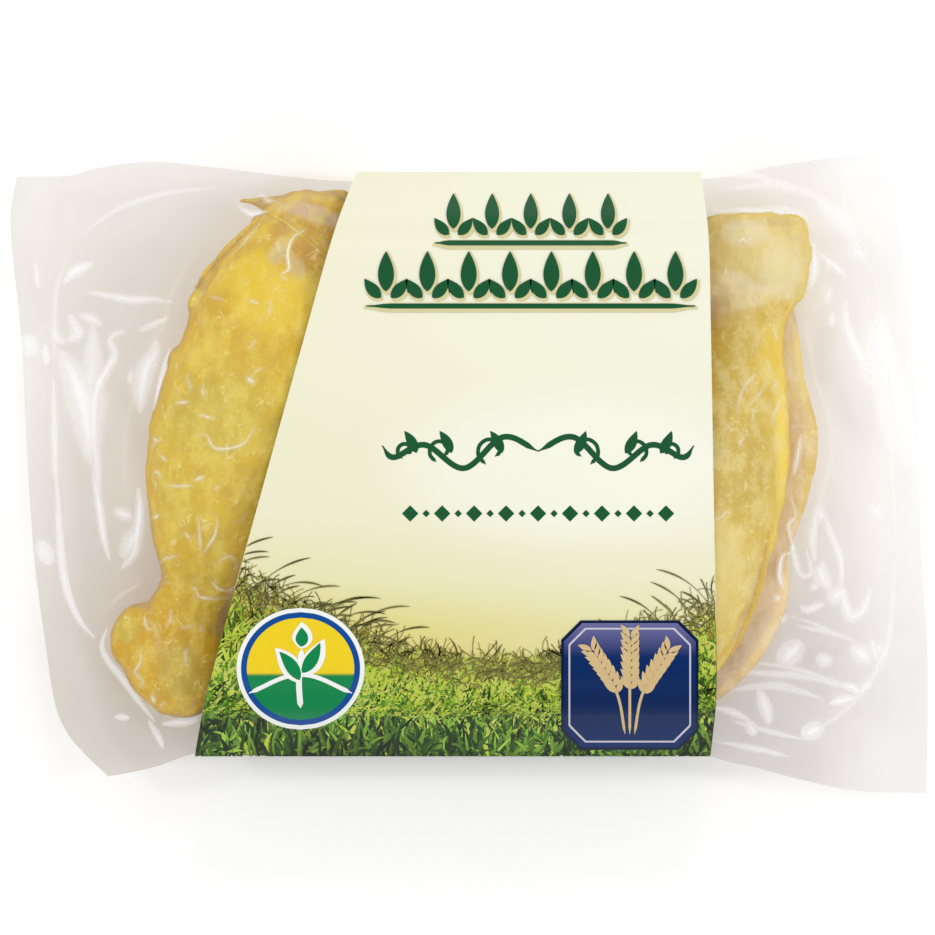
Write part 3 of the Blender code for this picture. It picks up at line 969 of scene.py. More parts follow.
# Creases, each row giving rise, width and painted highlight, then the spots along it
CREASES = crease_rows(
    # Clear web at the left
    (1, 0.8, 0.8, -104.4, 49.5, -102.6, 51.4, -100.4, 52.8, -96.9, 54.3),
    (0.8, 0.6, 0.6, -98.2, 46.8, -92.5, 45.9, -86.7, 44.8, -81.8, 45, -76.5, 44.2),
    (1, 0.9, 0.55, -103.1, 41.1, -101.7, 38, -100.8, 36.2, -103.9, 34.4),
    (0.7, 0.8, 0.35, -107, 38, -106.6, 35.3, -104.4, 34),
    (0.8, 0.7, 0.6, -100.4, 41.1, -97.8, 40.2, -94.7, 38.4),
    (1.7, 2.3, 0.85, -105.4, 31.4, -102, 25, -99.6, 19, -98.2, 12.8, -97.7, 7.5, -97.2, 3.1),
    (0.5, 1.7, 0.42, -97.1, 38.5, -97.1, 30.5, -97.8, 23, -97.8, 14.5),
    (0.9, 2.8, 0.75, -101.4, 26, -99, 19.5, -97.7, 12),
    (1.9, 0.8, 0.9, -88.9, 36.6, -91.6, 35.8, -92.5, 34, -91.3, 30.9, -93.3, 26.9, -95.5, 23, -96.4,
     18.5, -96.6, 10.6, -96, 4.4, -95.5, -3.6, -95.1, -6.6),
    (1.5, 0.55, 0.9, -96.9, 1.2, -95.9, -4.4, -95.1, -9, -94.1, -16.1, -92.6, -22.2),
    (0.8, 0.5, 0.7, -77.4, 40.2, -81, 38.6, -84.9, 36.9),
    (1.5, 1.5, 0.85, -80.5, 34, -81, 30.9, -83.2, 26.9, -84.1, 23, -84.5, 16.3),
    (0.4, 0.5, 0.9, -76.5, 32.2, -77.9, 27.4, -79.2, 21.6, -80.1, 15.9),
    (0.5, 0.5, 0.6, -87.2, 26.9, -87.2, 23),
    (0.7, 1.4, 0.6, -115, 35.3, -112.8, 31.3),
    (0.5, 0.6, 0.5, -109.7, 33.6, -109.2, 28.3),
    (0.3, 0.4, 0.35, -112.1, 54.8, -111.2, 47.7),
    (1.3, 0.9, 0.85, -84.8, -3.4, -84.5, -9, -85.5, -15.6, -86.5, -20.6, -89.3, -23.9),
    (0.8, 0.9, 0.8, -91.1, -9.2, -87, -11),
    (1, 1.6, 0.6, -85.3, -14.1, -88.8, -21.2),
    (0.6, 0.6, 0.5, -93.1, -39.4, -94.6, -44, -93.1, -47.5, -90.1, -51.1, -87, -55.1, -84, -59.2,
     -80.9, -63.2),
    (0.4, 0.5, 0.5, -91.1, -62.2, -87.5, -62.5),
    (0.8, 0.6, 0.9, -78.9, -64, -75.9, -63.7, -71.8, -63.2, -68, -61.6),
    (0.8, 0.5, 0.6, -82.5, -63.2, -79.9, -67.3, -78.8, -70.1),
    (0.7, 1.3, 0.5, -111, -17.4, -108.2, -22.9),
    # Over the meat at the left
    (0.4, 0.5, 0.6, -80.4, 0.1, -78.9, 0.7, -77.3, -1),
    (0.4, 0.5, 0.6, -76.9, -2.6, -73.3, -2.9, -68.7, -2.6),
    (0.4, 0.55, 0.7, -69, -1.6, -66.1, -0.3),
    (0.4, 0.55, 0.7, -80.5, -11.1, -78.3, -10.2),
    (0.4, 0.45, 0.65, -68.5, -9.5, -68, -12, -67.8, -15.6, -67.5, -20.6),
    (0.4, 0.45, 0.65, -63.2, -10, -63.7, -14.6, -65.5, -17.6, -67.5, -20.6),
    (0.4, 0.5, 0.5, -78.9, -22.7, -76.9, -21.2, -72.7, -20.3),
    (0.5, 0.5, 0.7, -71.3, -29.3, -69.5, -28.7, -68.5, -30.8, -65.7, -31.4, -61.1, -31.3),
    (0.5, 0.45, 0.7, -65.5, -26.5, -63.7, -28.8, -61.2, -29.4, -59.6, -28.3),
    (0.4, 0.45, 0.5, -64.7, -22.7, -61.7, -20.9, -59.7, -20.6, -59, -23.2, -61.2, -25.7),
    (0.4, 0.5, 0.6, -83, -35.4, -81.9, -39.7),
    (0.5, 0.55, 0.55, -83.5, -43.5, -83.5, -47.5, -85, -50.2, -82.9, -52.6, -84.2, -53.9),
    (0.5, 0.8, 0.7, -80.9, -56.1, -80.2, -58.3),
    (0.3, 0.5, 0.35, -73.8, -39, -69.5, -38.3),
    (0.6, 0.5, 0.95, -40.8, 61.8, -44.4, 59.4, -45.6, 55.4, -45.2, 51.4, -46.8, 50.2, -46.2, 48.8,
     -44.6, 49.2),
    (0.5, 0.5, 0.95, -59.2, 68.6, -55.6, 66.6, -50.8, 66.9),
    (0.3, 0.6, 0.5, -48.3, 58.6, -47.5, 55.4),
    (0.3, 0.45, 0.4, -60.4, 55, -58.8, 56.6, -54, 62.2, -53.2, 64),
    (0.3, 0.5, 0.5, -55.2, 43.6, -52.3, 42.5),
    (0.3, 0.5, 0.35, -66, 45, -61.1, 43.6),
    (0.4, 0.7, 0.8, -55.6, 24.2, -53.5, 22.8),
    (0.4, 0.6, 0.7, -73.8, 18.1, -69.9, 18.1),
    (0.4, 0.5, 0.55, -68.1, 15.3, -63.2, 13.7),
    (0.5, 0.5, 0.7, -68.9, 9.3, -66, 10.1, -63.2, 6.5, -56.4, 7.7, -53.5, 12.7),
    (0.4, 0.55, 0.6, -80.6, 9.5, -77.9, 8),
    (0.4, 0.55, 0.6, -78.2, 5.2, -75.8, 3.1),
    # Clear web at the right
    (0.6, 0.5, 0.7, 74.4, 75, 80.3, 74.6, 85.2, 73.3),
    (0.3, 0.5, 0.3, 74.4, 68.6, 80.3, 68.2, 86.7, 66.4),
    (0.3, 0.45, 0.6, 60.4, 67.4, 68.2, 67.8, 79.9, 67.2, 87.1, 65.8),
    (0.6, 0.6, 0.55, 60.4, 77.2, 69.5, 77.2, 78, 75.9),
    (0.8, 1.2, 0.5, 89.6, 70.1, 96, 66.2, 98.9, 61.3, 101.5, 56.3),
    (0.6, 1.3, 0.85, 98.7, 58.6, 101.5, 56.3),
    (0.8, 0.5, 0.95, 89.6, 57.4, 93, 54.4, 97.1, 51.1),
    (0.7, 0.8, 0.85, 87.7, 59.6, 88.6, 53.4, 87.5, 47.9),
    (0.7, 0.7, 0.6, 92.6, 48.3, 91.6, 43.9),
    (0.5, 0.6, 0.4, 93.3, 41.4, 93, 38),
    (1.3, 0.8, 0.95, 96.7, 44.7, 97, 38.7, 98.9, 33.3, 101.9, 27.9, 104.9, 24.4),
    (1.2, 1.4, 0.95, 106.3, 41.7, 105.6, 36.3, 104.8, 31.3, 104.2, 26.2),
    (0.9, 1.9, 0.9, 103.4, 29.9, 105.1, 24.2),
    (1.4, 2.4, 0.55, 106.9, 37.2, 108.3, 26.4, 109.7, 14.2, 113.2, 1.9),
    (0.7, 2.6, 0.5, 114.3, 31.3, 115.1, 16.6, 115.9, 1.9),
    (0.9, 0.6, 0.9, 90.4, -8.8, 88.8, -11.9, 88.1, -17.2, 88.8, -22.5),
    (0.6, 1, 0.9, 89.9, -9.6, 90.7, -11.1),
    (1, 0.55, 0.75, 90.4, -8.8, 93, -15.6, 95.1, -20.8, 95.7, -25, 95.6, -30.2),
    (0.7, 0.45, 0.65, 82, -5.6, 83.6, -10.6, 81.6, -12.6, 82.5, -17.2, 84.6, -25, 86.7, -26.2, 87.8,
     -24.5, 86.2, -18.7),
    (0.8, 0.6, 0.85, 82.1, -20.2, 80, -20.9, 79.3, -25, 79.9, -28.1, 81.6, -30.9),
    (1, 1.1, 0.9, 90.9, -22.8, 90.3, -25.5, 92.6, -29.3),
    (0.6, 0.5, 0.8, 87.7, -29, 89.4, -28.9),
    (0.9, 0.6, 0.9, 85.1, -33.8, 86.7, -34.8, 91, -33.3),
    (1.1, 0.8, 0.95, 92.9, -32.3, 95.6, -29.8, 96.7, -33.4, 98.2, -36.6, 100.9, -35.6, 102.5, -32.3,
     103.1, -28.9),
    (0.8, 1.3, 0.9, 93.3, -31.9, 96, -30.2),
    (1.4, 1.5, 0.98, 84.8, -43.6, 80.2, -48.3),
    (0.8, 1, 0.7, 89.8, -47.4, 92.6, -48.1),
    (1.2, 1.2, 0.95, 99.1, -44.7, 103.1, -48.2),
    (0.7, 0.5, 0.8, 103.7, -42.3, 105.1, -47.8),
    (0.7, 0.5, 0.8, 108.3, -42.2, 106.9, -46.5, 105, -49.7),
    (0.6, 0.45, 0.7, 106.1, -43.3, 105.3, -46.2),
    (0.8, 0.6, 0.9, 100.9, -56.4, 103.6, -53.4),
    (0.8, 0.6, 0.9, 95.6, -54.2, 98.8, -55.1, 101, -56.7),
    (0.9, 0.7, 0.95, 92.9, -58.9, 99.4, -57.7),
    (1, 0.9, 0.9, 74.1, -55.3, 75.7, -59.5, 76.9, -64),
    (1, 1.2, 0.95, 86, -67, 90.5, -64.9),
    (0.8, 0.5, 0.85, 62.1, -59.8, 66.3, -60.6, 70.5, -62.4, 71.6, -63.7),
    (0.8, 0.8, 0.95, 71.6, -63.6, 73, -66.6),
    (0.6, 0.7, 0.22, 66.8, -50.4, 77.3, -51.2, 87.8, -52.2, 99.8, -55.9),
    (0.5, 0.9, 0.15, 65.8, -55.4, 78.9, -54.3, 91.4, -58),
    (0.4, 0.6, 0.12, 82.9, -38.6, 96.5, -41.8, 101.3, -45),
    (0.5, 0.7, 0.12, 66, -62.7, 76.5, -65.9, 86.9, -68.3),
    (0.4, 0.7, 0.14, 62.8, -68.3, 74.9, -70.7, 82.9, -72.7),
    (0.4, 0.5, 0.12, 70, -48, 82, -49.6, 97, -54),
    (0.4, 0.5, 0.1, 80, -36, 88, -38.2, 99, -43.2),
    (0.5, 1.2, 0.45, 104, -8.8, 106.3, -9.9),
    # Over the meat at the right
    (0.4, 0.7, 0.8, 78.4, -31.5, 79.5, -31.8),
    (0.4, 0.9, 0.5, 78.9, -36.4, 80.6, -37.1),
    (0.5, 0.5, 0.8, 67.5, 57.8, 69.2, 59.7, 70.3, 57.8),
    (0.4, 0.5, 0.5, 64.9, 53.2, 64.3, 49.8),
    (0.4, 0.5, 0.6, 70.1, 45.7, 70.5, 43.3),
    (0.4, 0.5, 0.6, 71.8, 45.7, 72.9, 43.3),
    (0.4, 0.6, 0.4, 75.4, 54.4, 78.6, 56.5),
    (0.4, 0.5, 0.5, 81.2, 49.2, 83.3, 50.1),
    (0.4, 0.5, 0.5, 80.3, 46.7, 80.8, 44.4),
    (0.5, 0.6, 0.45, 66.6, 14.8, 68.8, 22, 73.4, 26.5),
    (0.5, 0.6, 0.38, 67.9, 16.5, 72.1, 19.4, 75.6, 24.8),
    (0.5, 0.7, 0.45, 75.4, 12.2, 77.3, 16.6, 79.4, 20.8),
    (0.5, 0.6, 0.6, 84.7, 10.2, 83.7, 4.3, 82.6, -0.7),
)
SEALS = crease_rows(
    # The edge of the sealed rim, at the left
    (0.4, 0.5, 0.4, -107.5, 24.7, -107.3, 19.4, -107, 9.7, -106.8, 0.9, -106.1, -6.2),
    (0.7, 0.6, 0.7, -106.3, -1.9, -105.8, -14.1, -105, -24.2, -103.5, -31.3, -100.7, -37.4, -98.7,
     -39.9, -96.6, -42),
    (0.5, 1, 0.06, -61.6, 73.7, -76.2, 72.5, -87.2, 69.6, -94.4, 65.8, -102.1, 59.1),
    (0.4, 0.9, 0.06, -102.1, 59.1, -106.4, 48, -107.2, 34, -107.3, 24),
    # The edge of the sealed rim, at the right
    (0.5, 0.9, 0.15, 64, 72.5, 75.4, 74.4, 85.4, 73, 92.1, 69.6, 101.1, 58.1),
    (0.5, 1, 0.1, 101.1, 58.1, 105, 49, 107.2, 24.8, 109.8, -6.5, 109.8, -20.6),
    (0.5, 1, 0.1, 109.8, -20.6, 108.2, -43, 104.7, -51.4, 97, -60.6, 85.9, -67.6),
)


NO_MEAT = 1000.0


class Side(Enum):
    """Which sheet of the film: the one over the meat or the one under it."""

    OVER = 1
    UNDER = -1


@dataclass
class Film:
    """Two sheets of clear film, sealed round their rim and drawn against the meat by vacuum."""

    half_length: float = 118.6
    half_width: float = 82.5
    stiff_half_length: float = 66.0
    sleeve_middle: float = -4.0
    droop: float = 6.5
    droop_reach: float = 48.0
    rim_wave: float = 1.1
    rim_wave_length: float = 62.0
    lowest: float = 1.3
    highest: float = 42.9
    fillet: float = 4.8
    gauge: float = 0.12
    rounds: int = 90
    coarsest: int = 80
    fine_step: float = 0.42
    row_step: float = 0.43
    coarser_under: float = 3.0
    fine_left: float = 0.39
    fine_right: float = 0.70
    hidden_columns: int = 24
    wave_share: float = 0.35
    echo: float = 0.3
    seed: int = 7
    loose_squiggles: int = 60
    easing: int = 26
    crease_height: float = 0.18
    reach_in_widths: float = 3.5
    squiggle_step: float = 1.5
    tight_within: float = 0.6
    loose_within: float = 1.5
    calm_rim: float = 10.0
    # How strong the painted highlights along the creases are
    highlight_gain: float = 1.5
    top_side: tuple[Spot, ...] = (
        (-117.1, 77), (-103.5, 77), (-95.7, 78.9), (-81.7, 80.3), (-65, 78.7), (-45, 76.3),
        (-30, 75.2), (12, 75), (58, 75.6), (78.7, 79.3), (100.8, 82.5), (106.4, 80.6),
    )
    right_side: tuple[Spot, ...] = (
        (117.9, -82.4), (118.6, -62), (118.2, -44.3), (116.6, -20.7), (116, 10.6),
        (113, 46.8), (109.6, 74), (106.4, 80.6),
    )
    bottom_side: tuple[Spot, ...] = (
        (-93, -77.6), (-86.6, -76.4), (-79.4, -74.6), (-70, -71.4), (-60, -71.3),
        (-45, -71.2), (0, -71), (38, -71.1), (50, -71.1), (58, -71.4), (66, -73.6),
        (74, -75.4), (85.8, -78.6), (100.5, -81.6), (117.9, -82.4),
    )
    left_side: tuple[Spot, ...] = (
        (-93, -77.6), (-98.9, -72), (-103.6, -66.6), (-106.9, -58.9), (-109.5, -44.3),
        (-112.3, -24.2), (-113.8, -1.4), (-116.1, 35.8), (-118.6, 64.4), (-117.1, 77),
    )

    def _shares(self, side: Side) -> tuple[np.ndarray, np.ndarray]:
        """Spaces the grid: close where the film shows, wide under the card.

        Args:
            side: the sheet.

        Returns:
            The columns' and the rows' shares of the length and width, from 0 to 1.
        """
        coarser = 1.0 if side is Side.OVER else self.coarser_under
        step = self.fine_step * coarser
        length = 2 * self.half_length
        left = np.linspace(0, self.fine_left, round(self.fine_left * length / step))
        right = np.linspace(self.fine_right, 1, round((1 - self.fine_right) * length / step))
        middle = np.linspace(self.fine_left, self.fine_right, self.hidden_columns)[1:-1]
        rows = np.linspace(0, 1, round(2 * self.half_width / (self.row_step * coarser)))
        return np.concatenate([left, middle, right]), rows

    def _places(self, u: np.ndarray, v: np.ndarray) -> np.ndarray:
        """Fills the outline with a grid by blending its four sides.

        Args:
            u: the columns' shares.
            v: the rows' shares.

        Returns:
            A place for each column and row.
        """

        def along(points: Sequence[Spot], shares: np.ndarray) -> np.ndarray:
            """Reads one side at some shares of its length."""
            fine = even_curve(points, 600)
            at = np.linspace(0, 1, 600)
            return np.stack([np.interp(shares, at, fine[:, k]) for k in (0, 1)], axis=1)

        bottom, top = along(self.bottom_side, u)[:, None], along(self.top_side, u)[:, None]
        left, right = along(self.left_side, v)[None], along(self.right_side, v)[None]
        a, b = u[:, None, None], v[None, :, None]
        corners = (
            (1 - a) * (1 - b) * bottom[0, 0]
            + a * (1 - b) * bottom[-1, 0]
            + (1 - a) * b * top[0, 0]
            + a * b * top[-1, 0]
        )
        return (1 - b) * bottom + b * top + (1 - a) * left + a * right - corners

    def _web(self, x: np.ndarray, y: np.ndarray) -> np.ndarray:
        """Works out the height of the flat web, which droops away from the card."""
        past = np.abs(x - self.sleeve_middle) - self.stiff_half_length
        share = np.clip(past / self.droop_reach, 0, 1)
        wave = self.rim_wave * np.sin(2 * math.pi * (y + 0.4 * x) / self.rim_wave_length)
        return FLANGE_HEIGHT - self.droop * share**1.5 + wave * share

    def _meat(self, meat: BVHTree, places: np.ndarray, side: Side) -> np.ndarray:
        """Finds the meat under or over each place.

        Args:
            meat: the meat's faces.
            places: the places.
            side: the sheet.

        Returns:
            The heights, far from the film where there is no meat.
        """
        found = np.full(places.shape[:2], -NO_MEAT * side.value)
        for i, j in np.ndindex(*places.shape[:2]):
            height = height_at(meat, *places[i, j], -side.value)
            if height is not None:
                found[i, j] = height
        return found

    def _drawn(self, places: np.ndarray, held: np.ndarray) -> np.ndarray:
        """Stretches a skin over what holds it up, by relaxing it until it is taut.

        Args:
            places: the grid's places.
            held: the lowest that each place may be.

        Returns:
            The skin's heights.
        """
        film = held.copy()
        if min(held.shape) > self.coarsest:
            i, j = (np.unique(np.append(np.arange(0, n, 2), n - 1)) for n in held.shape)
            rough = self._drawn(places[np.ix_(i, j)], held[np.ix_(i, j)])
            wide = np.stack([np.interp(np.arange(held.shape[1]), j, row) for row in rough])
            film = np.stack([np.interp(np.arange(held.shape[0]), i, row) for row in wide.T]).T
            film = np.maximum(held, film)
        across = np.diff(places[..., 0].mean(axis=1))
        down = np.diff(places[..., 1].mean(axis=0))
        before, after = across[:-1, None], across[1:, None]
        under, over = down[None, :-1], down[None, 1:]
        pairs = ((before, after), (after, before), (under, over), (over, under))
        weights = [2 / (near * (near + far)) for near, far in pairs]
        whole = sum(weights)
        for _ in range(self.rounds):
            pulled = (
                film[:-2, 1:-1] * weights[0]
                + film[2:, 1:-1] * weights[1]
                + film[1:-1, :-2] * weights[2]
                + film[1:-1, 2:] * weights[3]
                - 2 / self.fillet
            ) / whole
            film[1:-1, 1:-1] = np.maximum(held[1:-1, 1:-1], pulled)
        return film

    def _eased(self, film: np.ndarray, lowest: np.ndarray) -> np.ndarray:
        """Rounds the film off where it leaves the meat and where it meets the web.

        Args:
            film: the skin's heights.
            lowest: the lowest that each place may be.

        Returns:
            The rounder skin's heights.
        """
        for _ in range(self.easing):
            around = film[:-2, 1:-1] + film[2:, 1:-1] + film[1:-1, :-2] + film[1:-1, 2:]
            film[1:-1, 1:-1] = np.maximum(lowest[1:-1, 1:-1], around / 4)
        return film

    def _squiggles(self, tight: np.ndarray, places: np.ndarray) -> list[Crease]:
        """Scatters small crinkles over the meat, each with a faint painted highlight.

        Args:
            tight: how close the film is to the meat at each place.
            places: the grid's places.

        Returns:
            The crinkles.
        """
        draw = np.random.default_rng(self.seed)
        spots = places[tight > 0.9]
        made = []
        for _ in range(self.loose_squiggles):
            x, y = spots[draw.integers(len(spots))]
            heading = math.pi / 2 + draw.normal(0, 0.6)
            path = [(x, y)]
            for _ in range(draw.integers(2, 5)):
                heading += draw.normal(0, 0.8)
                x += self.squiggle_step * math.cos(heading)
                y += self.squiggle_step * math.sin(heading)
                path.append((x, y))
            # How strong the crinkle's painted highlight is
            white = draw.uniform(0.15, 0.5)
            made.append(Crease(tuple(path), draw.uniform(0.1, 0.3), draw.uniform(0.45, 0.6), white))
        return made

    def _ridges(
        self, places: np.ndarray, creases: Sequence[Crease]
    ) -> tuple[np.ndarray, np.ndarray]:
        """Works out how far the creases raise the film, and how strong a painted highlight they put
        on it.

        Args:
            places: the grid's places.
            creases: the creases.

        Returns:
            The rise and the painted highlight at each place.
        """
        rise = np.zeros(places.shape[:2])
        gleam = np.zeros(places.shape[:2])
        x, y = places[..., 0], places[..., 1]
        broken = np.sin(0.8 * x + 1.4 * np.sin(0.5 * y)) * np.sin(0.5 * y + 1.1 * np.sin(0.6 * x))
        flicker = self.highlight_gain * (0.95 + 0.10 * broken)
        for crease in creases:
            reach = crease.width * self.reach_in_widths
            points = even_curve(crease.path, 4 * len(crease.path))
            low, high = points.min(axis=0) - reach, points.max(axis=0) + reach
            near = (x > low[0]) & (x < high[0]) & (y > low[1]) & (y < high[1])
            spots = places[near]
            best = np.zeros(len(spots))
            last = len(points) - 1
            for n in range(last):
                start, way = points[n], points[n + 1] - points[n]
                share = np.clip((spots - start) @ way / (way @ way), 0, 1)
                far = np.linalg.norm(spots - start - share[:, None] * way, axis=1)
                taper = np.sin(math.pi * (0.03 + 0.94 * (n + share) / last)) ** 0.8
                sharp = crease.width * (0.25 + 0.5 * taper)
                best = np.maximum(best, taper * np.exp(-((far / sharp) ** 1.2)))
            rise[near] = np.maximum(rise[near], crease.rise * self.crease_height * best)
            # Painted highlight: strongest at the crease's middle, broken up a little along it
            white = np.minimum(crease.gleam * best**1.1 * flicker[near], 1.0)
            gleam[near] = np.maximum(gleam[near], white)
        return self._blurred(rise, 3), gleam

    def _blurred(self, values: np.ndarray, rounds: int) -> np.ndarray:
        """Softens a field of values on the grid."""
        for _ in range(rounds):
            around = values[:-2, 1:-1] + values[2:, 1:-1] + values[1:-1, :-2] + values[1:-1, 2:]
            values[1:-1, 1:-1] = 0.4 * values[1:-1, 1:-1] + 0.15 * around
        return values

    def _crumple(self, places: np.ndarray) -> np.ndarray:
        """Gives the loose web the shallow, long waves of film that was warmed and cooled."""
        made = np.empty(places.shape[:2])
        for i, j in np.ndindex(*made.shape):
            x, y = places[i, j]
            swell = noise.noise(Vector((x / 19.0, y / 44.0, 0.3)))
            ripple = noise.noise(Vector((x / 6.0, y / 13.0, 4.1)))
            made[i, j] = 0.5 * swell + 0.07 * ripple
        return made

    def _piece(self, name: str, points: np.ndarray, marks: dict[str, np.ndarray]) -> Piece:
        """Makes one stretch of film from its grid of places.

        Args:
            name: the piece's name.
            points: the place of each column and row.
            marks: values for the vertices, by attribute name.

        Returns:
            The stretch.
        """
        columns, rows = points.shape[:2]
        start_fresh()
        bpy.ops.mesh.primitive_grid_add(
            x_subdivisions=columns - 1, y_subdivisions=rows - 1, size=2.0
        )
        piece = named(name)
        settle(piece)
        old = mesh_points(piece)
        half = old[:, :2].max(axis=0)
        steps = np.rint((old[:, :2] / half + 1) / 2 * (columns - 1, rows - 1))
        order = np.lexsort((steps[:, 1], steps[:, 0]))
        new = np.empty_like(old)
        new[order] = points.reshape(-1, 3)
        set_mesh_points(piece, new)
        for key, values in marks.items():
            mark = piece.data.attributes.new(key, "FLOAT", "POINT")
            ordered = np.empty(len(new), np.float32)
            ordered[order] = values.reshape(-1)
            mark.data.foreach_set("value", ordered)
        return piece

    def _sheet(self, side: Side, meat: BVHTree, finish: bpy.types.Material) -> list[Piece]:
        """Makes one sheet, in two stretches that meet under the card.

        Args:
            side: the sheet.
            meat: the meat's faces.
            finish: the film's material.

        Returns:
            The two stretches.
        """
        u, v = self._shares(side)
        places = self._places(u, v)
        web = self._web(places[..., 0], places[..., 1])
        flip = side.value
        shell = flip * self._meat(meat, places, side)
        lift = self.gauge + 0.1
        held = np.maximum(flip * web + self.gauge, shell + lift)
        drawn = self._eased(self._drawn(places, held), shell + lift)
        tight = np.clip(1 - (drawn - shell - lift) / self.tight_within, 0, 1)
        rim = np.minimum(
            (np.minimum(u, 1 - u) * 2 * self.half_length)[:, None],
            (np.minimum(v, 1 - v) * 2 * self.half_width)[None, :],
        )
        loose = np.clip(1 - (drawn - held) / self.loose_within, 0, 1) * (1 - tight)
        wavy = self.wave_share + (1 - self.wave_share) * np.clip(rim / self.calm_rim, 0, 1)
        drawn = drawn + flip * self._crumple(places) * loose * wavy
        creases = [*CREASES, *SEALS, *self._squiggles(tight, places)]
        rise, gleam = self._ridges(places, creases)
        drawn = drawn + rise * (1.0 if side is Side.OVER else self.echo)
        height = flip * np.minimum(drawn, self.highest if flip > 0 else -self.lowest)
        height = np.where(rim < 1e-6, web + flip * self.gauge / 2, height)
        points = np.concatenate([places, height[..., None]], axis=2)
        # The painted highlights go on the upper sheet only
        marks = {"tight": tight, "gleam": gleam if side is Side.OVER else gleam * 0}
        middle = round(len(u) * self.fine_left / (self.fine_left + 1 - self.fine_right))
        halves = (("left", slice(0, middle + 1)), ("right", slice(middle, len(u))))
        made = []
        for word, part in halves:
            values = {key: value[part] for key, value in marks.items()}
            piece = self._piece(f"film_{side.name.lower()}_{word}", points[part], values)
            if side is Side.UNDER:
                piece.data.flip_normals()
            shade_smooth(piece)
            dress(piece, finish)
            made.append(piece)
        return made

    def build(self, meat: Sequence[Piece], finish: bpy.types.Material) -> list[Piece]:
        """Builds both sheets round the pieces in the pack, and gives back the stretches."""
        faces = tree_of(meat)
        return [piece for side in Side for piece in self._sheet(side, faces, finish)]


# Card sleeve


